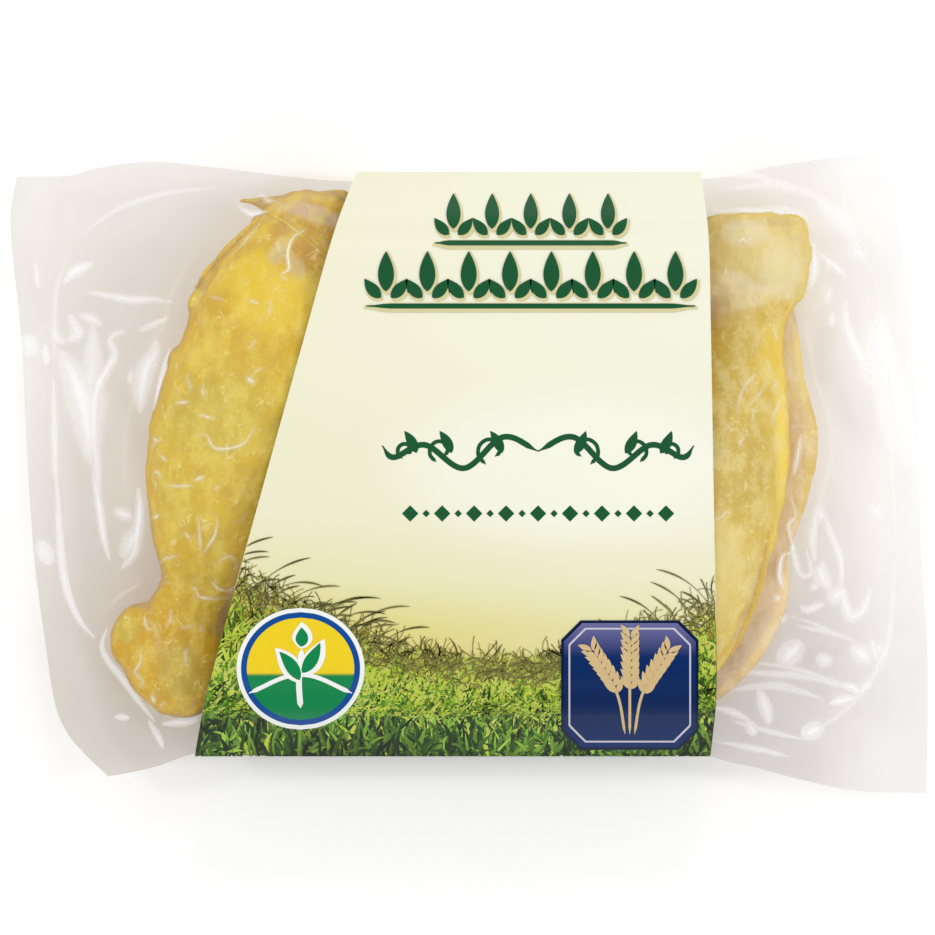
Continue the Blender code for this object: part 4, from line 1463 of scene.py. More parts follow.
@dataclass
class CardSleeve:
    """The card band folded round the pack, with slanting sides and a glued lap underneath."""

    card: float = 0.45
    crest: float = 43.6
    fold_height: float = 18.0
    top_fold: float = 78.1
    bottom_fold: float = -72.4
    crest_from: float = -55.0
    crest_to: float = 60.0
    foot_from: float = -57.0
    foot_to: float = 62.0
    lap_at: float = 12.0
    left_at_top: float = -29.0
    left_at_bottom: float = -70.6
    right_at_top: float = 59.1
    right_at_bottom: float = 61.7
    crest_bend: float = 18.0
    foot_bend: float = 14.0
    fold_bend: float = 1.4
    bend_steps: int = 18
    fold_steps: int = 5
    blank_length: float = 180.0
    slice_pitch: float = 12.0
    strip_pitch: float = 9.5
    lap_step: float = 0.3
    near: float = 0.01
    profile: np.ndarray = field(default_factory=lambda: np.zeros((0, 2)))

    def edge_x(self, y: np.ndarray | float, right: bool) -> np.ndarray | float:
        """Finds where a slanting side is at a height on the print."""
        share = (y - self.bottom_fold) / (self.top_fold - self.bottom_fold)
        low, high = self.left_at_bottom, self.left_at_top
        if right:
            low, high = self.right_at_bottom, self.right_at_top
        return low + (high - low) * share

    def _select_line(self, y: float, z: float) -> None:
        """Selects the blank's long edge at a place along Y and a height."""
        mesh = bpy.context.object.data
        bpy.ops.mesh.select_mode(type="VERT")
        bpy.ops.mesh.select_all(action="DESELECT")
        edit(False)
        for vert in mesh.vertices:
            vert.select = math.hypot(vert.co.y - y * MM, vert.co.z - z * MM) < self.near * MM
        edit(True)

    def _shift(self, y: float, z: float, move: float) -> None:
        """Slides the blank's long edge at a place and a height along Y."""
        self._select_line(y, z)
        bpy.ops.transform.translate(value=(0.0, move * MM, 0.0))

    def _bend(self, y: float, z: float, radius: float, steps: int, opening: float) -> None:
        """Rounds one long edge of the blank.

        Args:
            y: where the edge is.
            z: how high it is.
            radius: the bend's radius.
            steps: how many faces round it.
            opening: the angle between the two faces, in degrees.
        """
        self._select_line(y, z)
        offset = radius / math.tan(math.radians(opening) / 2) * MM
        bpy.ops.mesh.bevel(offset=offset, offset_type="OFFSET", segments=steps, affect="EDGES")

    def _cut(self, right: bool) -> None:
        """Trims the blank along one slanting side."""
        low, high = self.edge_x(self.bottom_fold, right), self.edge_x(self.top_fold, right)
        along = Vector((high - low, self.top_fold - self.bottom_fold, 0.0)).normalized()
        out = Vector((along.y, -along.x, 0.0)) * (1 if right else -1)
        bpy.ops.mesh.select_all(action="SELECT")
        bpy.ops.mesh.bisect(
            plane_co=(low * MM, self.bottom_fold * MM, 0.0), plane_no=out, clear_outer=True
        )

    def _blank(self) -> Piece:
        """Folds the card round a block of the pack's size.

        Returns:
            The band, one sheet thick.
        """
        start_fresh()
        width = self.top_fold - self.bottom_fold
        bpy.ops.mesh.primitive_cube_add(
            size=MM,
            location=(0.0, (self.top_fold + self.bottom_fold) / 2 * MM, self.crest / 2 * MM),
            scale=(self.blank_length, width, self.crest),
        )
        band = named("card_sleeve")
        settle(band)
        edit(True)
        bpy.ops.mesh.select_all(action="SELECT")
        bpy.ops.mesh.bisect(plane_co=(0, 0, self.fold_height * MM), plane_no=(0, 0, 1))
        for fold, top, foot in (
            (self.top_fold, self.crest_to, self.foot_to),
            (self.bottom_fold, self.crest_from, self.foot_from),
        ):
            for z, end in ((self.crest, top), (0.0, foot)):
                self._shift(fold, z, end - fold)
        for y, z, radius, steps, opening in (
            (self.crest_to, self.crest, self.crest_bend, self.bend_steps, 126.2),
            (self.crest_from, self.crest, self.crest_bend, self.bend_steps, 124.2),
            (self.foot_to, 0.0, self.foot_bend, self.bend_steps, 131.8),
            (self.foot_from, 0.0, self.foot_bend, self.bend_steps, 130.5),
            (self.top_fold, self.fold_height, self.fold_bend, self.fold_steps, 102.0),
            (self.bottom_fold, self.fold_height, self.fold_bend, self.fold_steps, 105.0),
        ):
            self._bend(y, z, radius, steps, opening)
        bpy.ops.mesh.select_mode(type="FACE")
        bpy.ops.mesh.select_all(action="DESELECT")
        edit(False)
        for face in band.data.polygons:
            face.select = abs(face.normal.x) > 0.9
        edit(True)
        bpy.ops.mesh.delete(type="FACE")
        self._cut(right=False)
        self._cut(right=True)
        slices = [((self.slice_pitch * n * MM, 0, 0), (1, 0, 0)) for n in range(-5, 6)]
        levels = [self.strip_pitch * n for n in range(-5, 6)]
        levels += [self.lap_at, self.lap_at + self.lap_step]
        slices += [((0, level * MM, 0), (0, 1, 0)) for level in levels]
        for spot, way in slices:
            bpy.ops.mesh.select_all(action="SELECT")
            bpy.ops.mesh.bisect(plane_co=spot, plane_no=way)
        edit(False)
        return band

    def build(self, outside: bpy.types.Material, inside: bpy.types.Material) -> Piece:
        """Builds the sleeve.

        Args:
            outside: the printed side's material.
            inside: the plain side's material.

        Returns:
            The finished piece.
        """
        band = self._blank()
        points = mesh_points(band)
        foot = (points[:, 2] < 0.4) & (points[:, 1] > self.lap_at + 0.1)
        points[foot, 2] += self.card
        set_mesh_points(band, points)
        dress(band, outside, inside)
        modified(
            band,
            "SOLIDIFY",
            thickness=self.card * MM,
            offset=-1.0,
            material_offset=1,
            material_offset_rim=1,
        )
        shade_smooth(band, 35.0)
        self.profile = self._read_profile(band)
        return band

    def _read_profile(self, band: Piece) -> np.ndarray:
        """Reads the height of the printed side along Y."""
        faces = tree_of([band])
        rows = []
        for y in np.linspace(self.bottom_fold + 0.02, self.top_fold - 0.02, 400):
            height = height_at(faces, 0.0, y)
            if height is not None:
                rows.append((y, height))
        return np.array(rows)

    def height(self, y: np.ndarray) -> np.ndarray:
        """Gives the height of the printed side at some heights on the print."""
        return np.interp(y, self.profile[:, 0], self.profile[:, 1])

    def laid(self, spots: np.ndarray) -> np.ndarray:
        """Moves spots from where the eye sees them, level with the flange, to the card itself.

        Args:
            spots: the spots as seen.

        Returns:
            Places on the card, with their heights.
        """
        eye = np.array([CAMERA_X, CAMERA_Y])
        real = spots.astype(float)
        for _ in range(6):
            rise = self.height(real[:, 1]) - FLANGE_HEIGHT
            real = eye + (spots - eye) * (1 - rise / CAMERA_RISE)[:, None]
        real[:, 1] = np.clip(real[:, 1], self.bottom_fold + 0.15, self.top_fold - 0.15)
        left = self.edge_x(real[:, 1], False) + 0.15
        right = self.edge_x(real[:, 1], True) - 0.15
        real[:, 0] = np.clip(real[:, 0], left, right)
        return np.column_stack([real, self.height(real[:, 1])])


class Ink(Enum):
    """The printed colours, as linear light."""

    FOREST = (0.012, 0.100, 0.036)
    CREAM = (0.72, 0.66, 0.36)
    LEAF = (0.004, 0.245, 0.075)
    WHITE = (0.93, 0.94, 0.90)
    SUN = (0.90, 0.66, 0.02)
    NAVY = (0.001, 0.018, 0.098)
    LILAC = (0.17, 0.17, 0.38)
    PALE = (0.62, 0.60, 0.68)
    SAND = (0.68, 0.50, 0.25)
    STALK = (0.085, 0.080, 0.026)
    BLUE = (0.004, 0.075, 0.32)


FAR_TONES = ((0.62, 0.52, 0.08), (0.46, 0.48, 0.07), (0.66, 0.44, 0.05), (0.2, 0.24, 0.04))
MID_TONES = ((0.48, 0.62, 0.05), (0.22, 0.37, 0.025), (0.66, 0.76, 0.1), (0.05, 0.11, 0.012))
NEAR_TONES = ((0.02, 0.06, 0.006), (0.06, 0.14, 0.014), (0.008, 0.022, 0.004), (0.16, 0.3, 0.03))
TANGLE_TONES = ((0.1, 0.095, 0.025), (0.22, 0.2, 0.05), (0.36, 0.33, 0.09))
GLEAM_TONE = (0.62, 0.72, 0.24)


class Print:
    """Flat printed shapes, each a strip with its own width and colour along it."""

    def __init__(self, card: CardSleeve) -> None:
        """Starts an empty print on a card."""
        self.card = card
        self.spots: list[np.ndarray] = []
        self.colours: list[np.ndarray] = []
        self.lifts: list[np.ndarray] = []
        self.faces: list[np.ndarray] = []
        self.count = 0

    def strip(self, path: np.ndarray, halves: np.ndarray, colours: np.ndarray, lift: float) -> None:
        """Adds one strip.

        Args:
            path: the spots along its middle, as the eye sees them.
            halves: half its width at each spot.
            colours: its colour at each spot, or one colour.
            lift: how far it lies over the card, in millimetres, which sets what covers what.
        """
        way = np.gradient(path, axis=0)
        way /= np.linalg.norm(way, axis=1)[:, None] + 1e-9
        across = np.stack([-way[:, 1], way[:, 0]], axis=1) * halves[:, None]
        many = len(path)
        self.spots.append(np.vstack([path + across, path - across]))
        shade = np.broadcast_to(colours, (many, 3))
        self.colours.append(np.vstack([shade, shade]))
        self.lifts.append(np.full(2 * many, lift))
        first = self.count + np.arange(many - 1)
        self.faces.append(np.stack([first, first + 1, first + 1 + many, first + many], axis=1))
        self.count += 2 * many

    def leaf(
        self, at: Spot, heading: float, length: float, width: float, colour: Rgb, lift: float,
        curl: float = 0.35,
    ) -> None:
        """Adds a pointed leaf.

        Args:
            at: where it joins its twig.
            heading: where it points, in degrees from +X.
            length: its length.
            width: its width.
            colour: its colour.
            lift: how far it lies over the card.
            curl: how far it turns along its length, in radians.
        """
        many = max(12, round(length * 2))
        t = np.linspace(0, 1, many)
        turn = math.radians(heading) + curl * (t - 0.5)
        path = trail(at, turn, length / (many - 1))
        halves = width / 2 * np.sin(math.pi * t**0.8) ** 0.9 + 0.02
        self.strip(path, halves, np.array(colour), lift)

    def shape(
        self, middle: Spot, heights: np.ndarray, halves: np.ndarray, colours: Any, lift: float
    ) -> None:
        """Adds an upright shape from its half widths at some heights.

        Args:
            middle: its middle.
            heights: heights from its middle.
            halves: half its width there.
            colours: its colour, or one at each height.
            lift: how far it lies over the card.
        """
        many = max(len(heights), round(float(np.ptp(heights)) * 3))
        at = np.linspace(heights[0], heights[-1], many)
        path = np.stack([np.full(many, float(middle[0])), middle[1] + at], axis=1)
        shades = np.array(colours, float)
        if shades.ndim == 2:
            shades = np.stack([np.interp(at, heights, shades[:, k]) for k in range(3)], axis=1)
        self.strip(path, np.interp(at, heights, halves), shades, lift)

    def line(self, points: Sequence[Spot], width: float, colour: Rgb, lift: float) -> None:
        """Adds a line of even width with tapered ends."""
        path = even_curve(points, 14 * len(points))
        t = np.linspace(0, 1, len(path))
        halves = width / 2 * np.clip(np.sin(math.pi * t) * 5, 0.25, 1)
        self.strip(path, halves, np.array(colour), lift)

    def build(self, name: str, finish: bpy.types.Material) -> Piece:
        """Lays the shapes on the card as one piece.

        Args:
            name: the piece's name.
            finish: the ink's material.

        Returns:
            The finished piece.
        """
        places = self.card.laid(np.vstack(self.spots))
        places[:, 2] += np.concatenate(self.lifts)
        mesh = bpy.data.meshes.new(name)
        mesh.from_pydata((places * MM).tolist(), [], np.vstack(self.faces).tolist())
        ink = mesh.attributes.new("ink", "FLOAT_COLOR", "POINT")
        colours = np.column_stack([np.vstack(self.colours), np.ones(self.count)])
        ink.data.foreach_set("color", colours.astype(np.float32).ravel())
        mesh.materials.append(finish)
        piece = bpy.data.objects.new(name, mesh)
        bpy.context.scene.collection.objects.link(piece)
        pick(piece)
        edit(True)
        bpy.ops.mesh.select_all(action="SELECT")
        bpy.ops.mesh.normals_make_consistent(inside=False)
        edit(False)
        self._face_up(piece)
        return piece

    def _face_up(self, piece: Piece) -> None:
        """Turns the faces that look down, so that the ink faces the reader."""
        for face in piece.data.polygons:
            if face.normal.z < 0:
                face.flip()
        piece.data.update()


def trail(start: Sequence[float], turns: np.ndarray, step: float) -> np.ndarray:
    """Walks from a start by one step along each heading and gives back the spots."""
    ways = np.stack([np.cos(turns), np.sin(turns)], axis=1)
    return np.array(start) + np.cumsum(ways * step, axis=0)


class Motif:
    """One printed design, which draws its own shapes."""

    name: ClassVar[str]

    def draw(self, sheet: Print) -> None:
        """Draws the design's shapes on the sheet."""
        raise NotImplementedError

    def build(self, card: CardSleeve, finish: bpy.types.Material) -> Piece:
        """Prints the design on the card.

        Args:
            card: the sleeve that it is printed on.
            finish: the ink's material.

        Returns:
            The finished piece.
        """
        sheet = Print(card)
        self.draw(sheet)
        return sheet.build(self.name, finish)


@dataclass
class Meadow(Motif):
    """The printed meadow: leaves in rows, thin arching stalks and a tangle at the skyline."""

    name: ClassVar[str] = "printed_meadow"
    finish: CardFinish
    seed: int = 11
    blades: int = 8200
    stalks: int = 72
    threads: int = 1100
    left: float = -72.0
    right: float = 64.0
    bottom: float = -75.0
    brightest: Rgb = (0.56, 0.63, 0.13)
    mid_depth: float = 0.4
    gleams: float = 0.02

    def skyline(self, x: float) -> float:
        """Gives the meadow's upper edge."""
        return self.finish.low_edge + self.finish.rise * (x - self.finish.lowest_at) ** 2

    def _blade_colour(self, depth: float, draw: np.random.Generator) -> np.ndarray:
        """Chooses a leaf's colour by how near it is.

        Args:
            depth: 0 at the skyline, 1 at the lower edge.
            draw: the seeded chooser.

        Returns:
            The colour.
        """
        turn = self.mid_depth
        share = depth / turn if depth < turn else (depth - turn) / (1 - turn)
        first, second = (FAR_TONES, MID_TONES) if depth < turn else (MID_TONES, NEAR_TONES)
        pot = second if draw.random() < share else first
        if draw.random() < self.gleams and depth < 0.8:
            return np.array(GLEAM_TONE) * (1.0 - 0.5 * depth)
        tone = np.array(pot[draw.integers(4)]) * draw.uniform(0.55, 1.3)
        return tone * np.interp(depth, (0, 0.3, 0.6, 1), (1.4, 1.6, 1.75, 1.3))

    def _blades(self, sheet: Print, draw: np.random.Generator) -> None:
        """Adds the leaves, the far ones first."""
        depths = np.sort(draw.random(self.blades) ** 0.85)
        t = np.linspace(0, 1, 6)
        for n, depth in enumerate(depths):
            x = draw.uniform(self.left, self.right)
            top = self.skyline(x)
            y = top + 0.5 + (self.bottom - top) * depth
            length = draw.uniform(2.2, 5.0) + 3.4 * depth
            heading = math.pi / 2 + draw.normal(0, 0.8)
            turn = heading + draw.normal(0, 1.0) * t
            path = trail((x, y), turn, length / 5)
            width = draw.uniform(0.4, 0.95) * (0.6 + 0.7 * depth)
            halves = width / 2 * np.sin(math.pi * (0.12 + 0.86 * t)) ** 0.8 + 0.02
            clump = 1.0 + 1.3 * noise.noise(Vector((x / 6.0, y / 4.5, 2.0)))
            clump *= 1.0 + 0.7 * noise.noise(Vector((x / 16.0, y / 12.0, 7.0)))
            shade = self._blade_colour(depth, draw) * max(clump, 0.12) * (0.45 + 0.8 * t[:, None])
            shade = np.minimum(shade, self.brightest)
            sheet.strip(path, halves, shade, 0.03 + 0.14 * n / self.blades)

    def _stalks(self, sheet: Print, draw: np.random.Generator) -> None:
        """Adds arching stalks with seed heads that stand over the skyline."""
        t = np.linspace(0, 1, 14)
        for _ in range(self.stalks):
            x = draw.uniform(self.left + 6, self.right)
            lean = 1 if x < 20 else -1
            length = draw.uniform(11, 22) * min(max((abs(x - 8) - 8) / 30, 0.45), 1.0)
            turn = math.radians(84) - lean * (draw.uniform(0.1, 0.5) + draw.uniform(0.7, 1.6) * t)
            path = trail((x, self.skyline(x) - 4), turn, length / 13)
            head = np.exp(-(((t - 0.8) / 0.16) ** 2))
            halves = 0.08 + 0.17 * head
            halves[-1] = 0.05
            sheet.strip(path, halves, np.array(Ink.STALK.value) * draw.uniform(0.9, 2.8), 0.19)

    def _threads(self, sheet: Print, draw: np.random.Generator) -> None:
        """Adds the thin tangle just over the skyline."""
        t = np.linspace(0, 1, 8)
        for _ in range(self.threads):
            x = draw.uniform(self.left, self.right)
            edge = 1.0 if abs(x - 8) > 30 else 0.55
            y = self.skyline(x) + draw.uniform(-5, 4.5 * edge)
            turn = draw.uniform(0.2, math.pi - 0.2) + draw.normal(0, 1.3) * t
            length = draw.uniform(2.5, 6.0)
            path = trail((x, y), turn, length / 7)
            halves = np.full(8, draw.uniform(0.06, 0.13))
            sheet.strip(path, halves, np.array(TANGLE_TONES)[draw.integers(3)], 0.18)

    def draw(self, sheet: Print) -> None:
        """Draws the tangle, then the leaves, then the stalks."""
        chance = np.random.default_rng(self.seed)
        self._threads(sheet, chance)
        self._blades(sheet, chance)
        self._stalks(sheet, chance)


@dataclass
class Frieze(Motif):
    """Two rows of dark green leaf sprigs with a pale edge."""

    name: ClassVar[str] = "printed_frieze"
    middle_x: float = 15.6
    rows: tuple[tuple[float, float, int, float], ...] = (
        (61.2, 10.6, 5, 9.9),
        (45.0, 12.0, 8, 10.6),
    )
    shade: Spot = (0.4, -0.4)
    edge: float = 0.55

    def _sprig(
        self, sheet: Print, at: Spot, size: float, ink: Rgb, grow: float, lifts: Spot
    ) -> None:
        """Adds one sprig of three leaves.

        Args:
            sheet: the print.
            at: its foot.
            size: its height.
            ink: its colour.
            grow: how much larger than the plain sprig it is, in millimetres.
            lifts: how far its side leaves and its middle leaf lie over the card.
        """
        x, foot = at
        for way in (-1, 1):
            start = (x + way * 0.07 * size, foot - grow / 2)
            heading, width = 90 - way * 42, 0.25 * size + grow
            sheet.leaf(start, heading, 0.54 * size + grow, width, ink, lifts[0], way * 0.3)
        middle = (x, foot + 0.12 * size - grow)
        sheet.leaf(middle, 90, 0.86 * size + 2 * grow, 0.34 * size + grow, ink, lifts[1], 0.0)

    def _bar(
        self, sheet: Print, level: float, half: float, ink: Rgb, grow: float, lift: float
    ) -> None:
        """Adds the bar that a row stands on."""
        points = [(self.middle_x + way * half, level) for way in (-1, 0, 1)]
        sheet.line(points, 1.3 + grow, ink, lift)

    def draw(self, sheet: Print) -> None:
        """Draws each row: its bar, then its sprigs, each over its pale edge."""
        dx, dy = self.shade
        for level, size, many, pitch in self.rows:
            half = many * pitch / 2 - 0.2
            low, wide = level - 1.8, half + self.edge
            self._bar(sheet, low + dy, wide, Ink.CREAM.value, 2 * self.edge, 0.20)
            self._bar(sheet, low, half, Ink.FOREST.value, 0.0, 0.26)
            for n in range(many):
                x = self.middle_x + (n - (many - 1) / 2) * pitch
                edge = (Ink.CREAM.value, self.edge, (0.18, 0.22))
                self._sprig(sheet, (x + dx, level + dy), size, *edge)
                self._sprig(sheet, (x, level), size, Ink.FOREST.value, 0.0, (0.28, 0.32))


@dataclass
class Flourish(Motif):
    """A thin green scroll over a row of diamonds."""

    name: ClassVar[str] = "printed_flourish"
    middle: Spot = (17.5, 5.0)
    half_width: float = 40.0
    rule_below: float = 15.0

    def _scroll(self, sheet: Print, way: int) -> None:
        """Adds one half of the scroll."""
        cx, cy = self.middle
        ink = Ink.FOREST.value
        wave = [
            (cx, cy + 1.0),
            (cx + way * 9, cy + 4.6),
            (cx + way * 19, cy - 3.4),
            (cx + way * 29, cy + 2.6),
            (cx + way * 37, cy - 0.6),
            (cx + way * self.half_width, cy + 2.4),
        ]
        sheet.line(wave, 1.5, ink, 0.05)
        for at, size in ((12.0, 3.4), (25.0, 2.8), (34.0, 2.0)):
            curl = [
                (
                    cx + way * (at + size * math.cos(a) * (1 - a / 9)),
                    cy + 1.2 + size * math.sin(a) * (1 - a / 9),
                )
                for a in np.linspace(-1.2, 4.2, 8)
            ]
            sheet.line(curl, 1.0, ink, 0.055)
            sheet.leaf((cx + way * (at - 3), cy), 62 if way > 0 else 118, 6.5, 2.6, ink, 0.06)

    def draw(self, sheet: Print) -> None:
        """Draws both halves of the scroll, then the diamonds, large and small in turn."""
        for way in (-1, 1):
            self._scroll(sheet, way)
        cx, cy = self.middle[0], self.middle[1] - self.rule_below
        for n in range(-8, 9):
            size = 2.1 if n % 2 == 0 else 0.95
            t = np.linspace(-1, 1, 9)
            halves = size * (1 - np.abs(t)) + 0.01
            sheet.shape((cx + n * 4.1, cy), t * size, halves, Ink.FOREST.value, 0.05)


@dataclass
class Badge(Motif):
    """A printed badge: its middle and its half size."""

    middle: Spot
    half_width: float
    half_height: float

    def _round(self, sheet: Print, share: float, colours: Any, lift: float) -> None:
        """Adds a disc of the badge's shape.

        Args:
            sheet: the print.
            share: its size against the badge's.
            colours: its colour, or one at each height.
            lift: how far it lies over the card.
        """
        t = np.sin(np.linspace(-math.pi / 2, math.pi / 2, 60))
        halves = self.half_width * share * np.sqrt(1 - t**2) + 0.01
        sheet.shape(self.middle, t * self.half_height * share, halves, colours, lift)


@dataclass
class SproutBadge(Badge):
    """A green medallion with a white rim, a yellow field and a white sprout."""

    name: ClassVar[str] = "printed_sprout_badge"

    def draw(self, sheet: Print) -> None:
        """Draws the rings, the two fields, the hill and the sprout."""
        cx, cy = self.middle
        self._round(sheet, 1.0, Ink.WHITE.value, 0.24)
        self._round(sheet, 0.93, Ink.BLUE.value, 0.28)
        t = np.sin(np.linspace(-math.pi / 2, math.pi / 2, 60))
        bands = np.where((t > -0.12)[:, None], np.array(Ink.SUN.value), np.array(Ink.LEAF.value))
        self._round(sheet, 0.84, bands, 0.32)
        across = np.linspace(-13.2, 13.2, 9)
        hill = [(cx + dx, cy - 4.5 + 3.0 * math.cos(dx / 6.0)) for dx in across]
        sheet.line(hill, 1.1, Ink.WHITE.value, 0.36)
        stem = [(cx, cy - 10), (cx - 0.4, cy - 3), (cx + 0.3, cy + 5)]
        sheet.line(stem, 1.5, Ink.WHITE.value, 0.40)
        for heading, size, up in ((58, 11.0, -2.0), (125, 11.0, -4.0), (88, 7.0, 4.6)):
            sheet.leaf((cx, cy + up), heading, size, 5.2, Ink.WHITE.value, 0.40)
            sheet.leaf((cx, cy + up + 0.6), heading, size - 2.0, 3.2, Ink.LEAF.value, 0.44)


@dataclass
class EarBadge(Badge):
    """A navy label with cut corners, a thin pale line and three ears of grain."""

    name: ClassVar[str] = "printed_ear_badge"
    corner: float = 5.0

    def _label(self, sheet: Print, inset: float, colours: Any, lift: float) -> None:
        """Adds a square with cut corners, set in from the badge's edge."""
        high, wide = self.half_height - inset, self.half_width - inset
        cut = self.corner - inset * 0.4
        heights = np.concatenate([[-high], np.linspace(-high + cut, high - cut, 30), [high]])
        halves = np.concatenate([[wide - cut], np.full(30, wide), [wide - cut]])
        if np.ndim(colours) == 2:
            share = np.clip((heights / self.half_height + 1) / 2, 0, 1)
            colours = np.stack(
                [np.interp(share, (0, 0.25, 0.72, 1), colours[:, k]) for k in range(3)], axis=1
            )
        sheet.shape(self.middle, heights, halves, colours, lift)

    def draw(self, sheet: Print) -> None:
        """Draws the label, its pale line and the ears."""
        cx, cy = self.middle
        navy, lilac = np.array(Ink.NAVY.value), np.array(Ink.LILAC.value)
        shades = np.stack([navy * 1.5, navy, navy * 1.3, lilac])
        self._label(sheet, 0.0, navy * 0.5, 0.24)
        self._label(sheet, 0.7, shades, 0.28)
        self._label(sheet, 1.9, Ink.PALE.value, 0.32)
        self._label(sheet, 2.35, shades, 0.36)
        for lean in (-1, 0, 1):
            foot = (cx + lean * 1.2, cy - 12.5)
            top = (cx + lean * 9.5, cy + (8.5 if lean else 12.0))
            stem = [foot, ((foot[0] + top[0]) / 2 - lean * 2.0, (foot[1] + top[1]) / 2), top]
            sheet.line(stem, 0.7, Ink.SAND.value, 0.40)
            points = even_curve(stem, 14)
            for n in range(6, 14):
                way = points[n] - points[n - 1]
                heading = math.degrees(math.atan2(way[1], way[0]))
                for turn in (-34, 34):
                    spot = (points[n][0], points[n][1])
                    sheet.leaf(spot, heading + turn, 3.9, 1.5, Ink.SAND.value, 0.44)


# Studio


@dataclass(frozen=True)
class Softbox:
    """A square studio light: from where it shines, its size and strength."""

    name: str
    place: tuple[float, float, float]
    width: float
    depth: float
    watts: float


@dataclass
class Studio:
    """The plain pale floor, the camera over the pack and the soft lights."""

    ambient: float = 0.64
    floor_tone: Rgb = (0.96, 0.96, 0.955)
    floor_glow: float = 0.15
    boxes: tuple[Softbox, ...] = (
        Softbox("light_left", (-0.75, 0.25, 0.85), 0.15, 0.20, 2.0),
        Softbox("light_right", (0.80, 0.05, 0.80), 0.15, 0.20, 2.0),
        Softbox("light_back", (0.10, 0.95, 0.80), 0.22, 0.13, 1.7),
        Softbox("light_front", (-0.15, -0.95, 0.75), 0.22, 0.12, 1.3),
    )

    def build(self) -> None:
        """Builds the studio."""
        self._floor()
        self._camera()
        for box in self.boxes:
            self._light(box)
        world = bpy.data.worlds.new("studio")
        world.use_nodes = True
        ground = world.node_tree.nodes["Background"]
        ground.inputs["Color"].default_value = (1.0, 1.0, 1.0, 1.0)
        ground.inputs["Strength"].default_value = self.ambient
        bpy.context.scene.world = world
        bpy.context.scene.view_settings.view_transform = "Standard"

    def _floor(self) -> None:
        """Lays the floor."""
        start_fresh()
        bpy.ops.mesh.primitive_plane_add(size=6.0, location=(0.0, 0.0, 0.0))
        floor = named("floor")
        made, graph, shader = new_material(
            "pale_floor", roughness=0.9, emission_strength=self.floor_glow
        )
        mottle = graph.noise(graph.place(), 9.0, 3.0)
        tone = graph.mix(mottle, self.floor_tone, tuple(0.985 * c for c in self.floor_tone))
        graph.feed(shader.inputs["Base Color"], tone)
        floor.data.materials.append(made)
        floor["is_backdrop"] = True

    def _camera(self) -> None:
        """Hangs the camera over the pack, looking straight down."""
        start_fresh()
        bpy.ops.object.camera_add(
            location=(CAMERA_X * MM, CAMERA_Y * MM, (FLANGE_HEIGHT + CAMERA_RISE) * MM),
            rotation=(0.0, 0.0, 0.0),
        )
        camera = bpy.context.object
        camera.name = "camera"
        camera.data.sensor_width = SENSOR_WIDTH
        camera.data.lens = SENSOR_WIDTH * CAMERA_RISE / PICTURE_WIDTH
        bpy.context.scene.camera = camera

    def _light(self, box: Softbox) -> None:
        """Sets up one softbox, aimed at the pack."""
        aim = Vector((0.0, 0.0, 0.02)) - Vector(box.place)
        start_fresh()
        bpy.ops.object.light_add(
            type="AREA", location=box.place, rotation=aim.to_track_quat("-Z", "Y").to_euler()
        )
        lamp = bpy.context.object
        lamp.name = box.name
        lamp.data.shape = "RECTANGLE"
        lamp.data.size = box.width
        lamp.data.size_y = box.depth
        lamp.data.energy = box.watts


# Whole pack


YELLOW_SKIN = SkinFinish(
    name="yellow_skin",
    deep=(0.68, 0.42, 0.022),
    fresh=(0.79, 0.55, 0.045),
    fat=(0.86, 0.69, 0.135),
    blush=(0.76, 0.44, 0.012),
    rim=(0.64, 0.37, 0.01),
    fat_share=0.55,
    patches=(
        Patch((-60, 0), (26, 36), (0.62, 0.44, 0.05), 0.5),
        Patch((-62, 14), (12, 12), (0.6, 0.48, 0.08), 0.45),
        Patch((-71.8, -29.6), (15, 8), (0.66, 0.44, 0.03), 0.7, 0, 0.7),
        Patch((-79.5, -48), (19, 19), (0.64, 0.36, 0.008), 0.9, 0, 0.7),
        Patch((-73.1, -49.6), (6, 8.5), (0.57, 0.42, 0.08), 0.75, 12, 0.5),
        Patch((-87.2, -39.4), (3.8, 3.8), (0.56, 0.45, 0.08), 0.6, 0, 0.5),
        Patch((-51, 44.8), (10, 11), (0.84, 0.58, 0.035), 0.7),
        Patch((-39.5, 60), (10.5, 12.5), (0.6, 0.32, 0.035), 0.95, 12, 0.6),
        Patch((-41, 66.5), (14, 2.6), (0.67, 0.47, 0.3), 0.9, -18, 0.5),
        Patch((-47.6, 56.5), (2.4, 5), (0.66, 0.49, 0.32), 0.7, -20),
        Patch((-43.5, 52), (2.2, 4), (0.66, 0.5, 0.28), 0.6, 30),
        Patch((-47, 71), (17, 2.4), (0.63, 0.42, 0.15), 0.9, 2, 0.5),
        Patch((-45.5, 62.5), (5, 3.5), (0.6, 0.36, 0.05), 0.8, 0, 0.5),
    ),
)
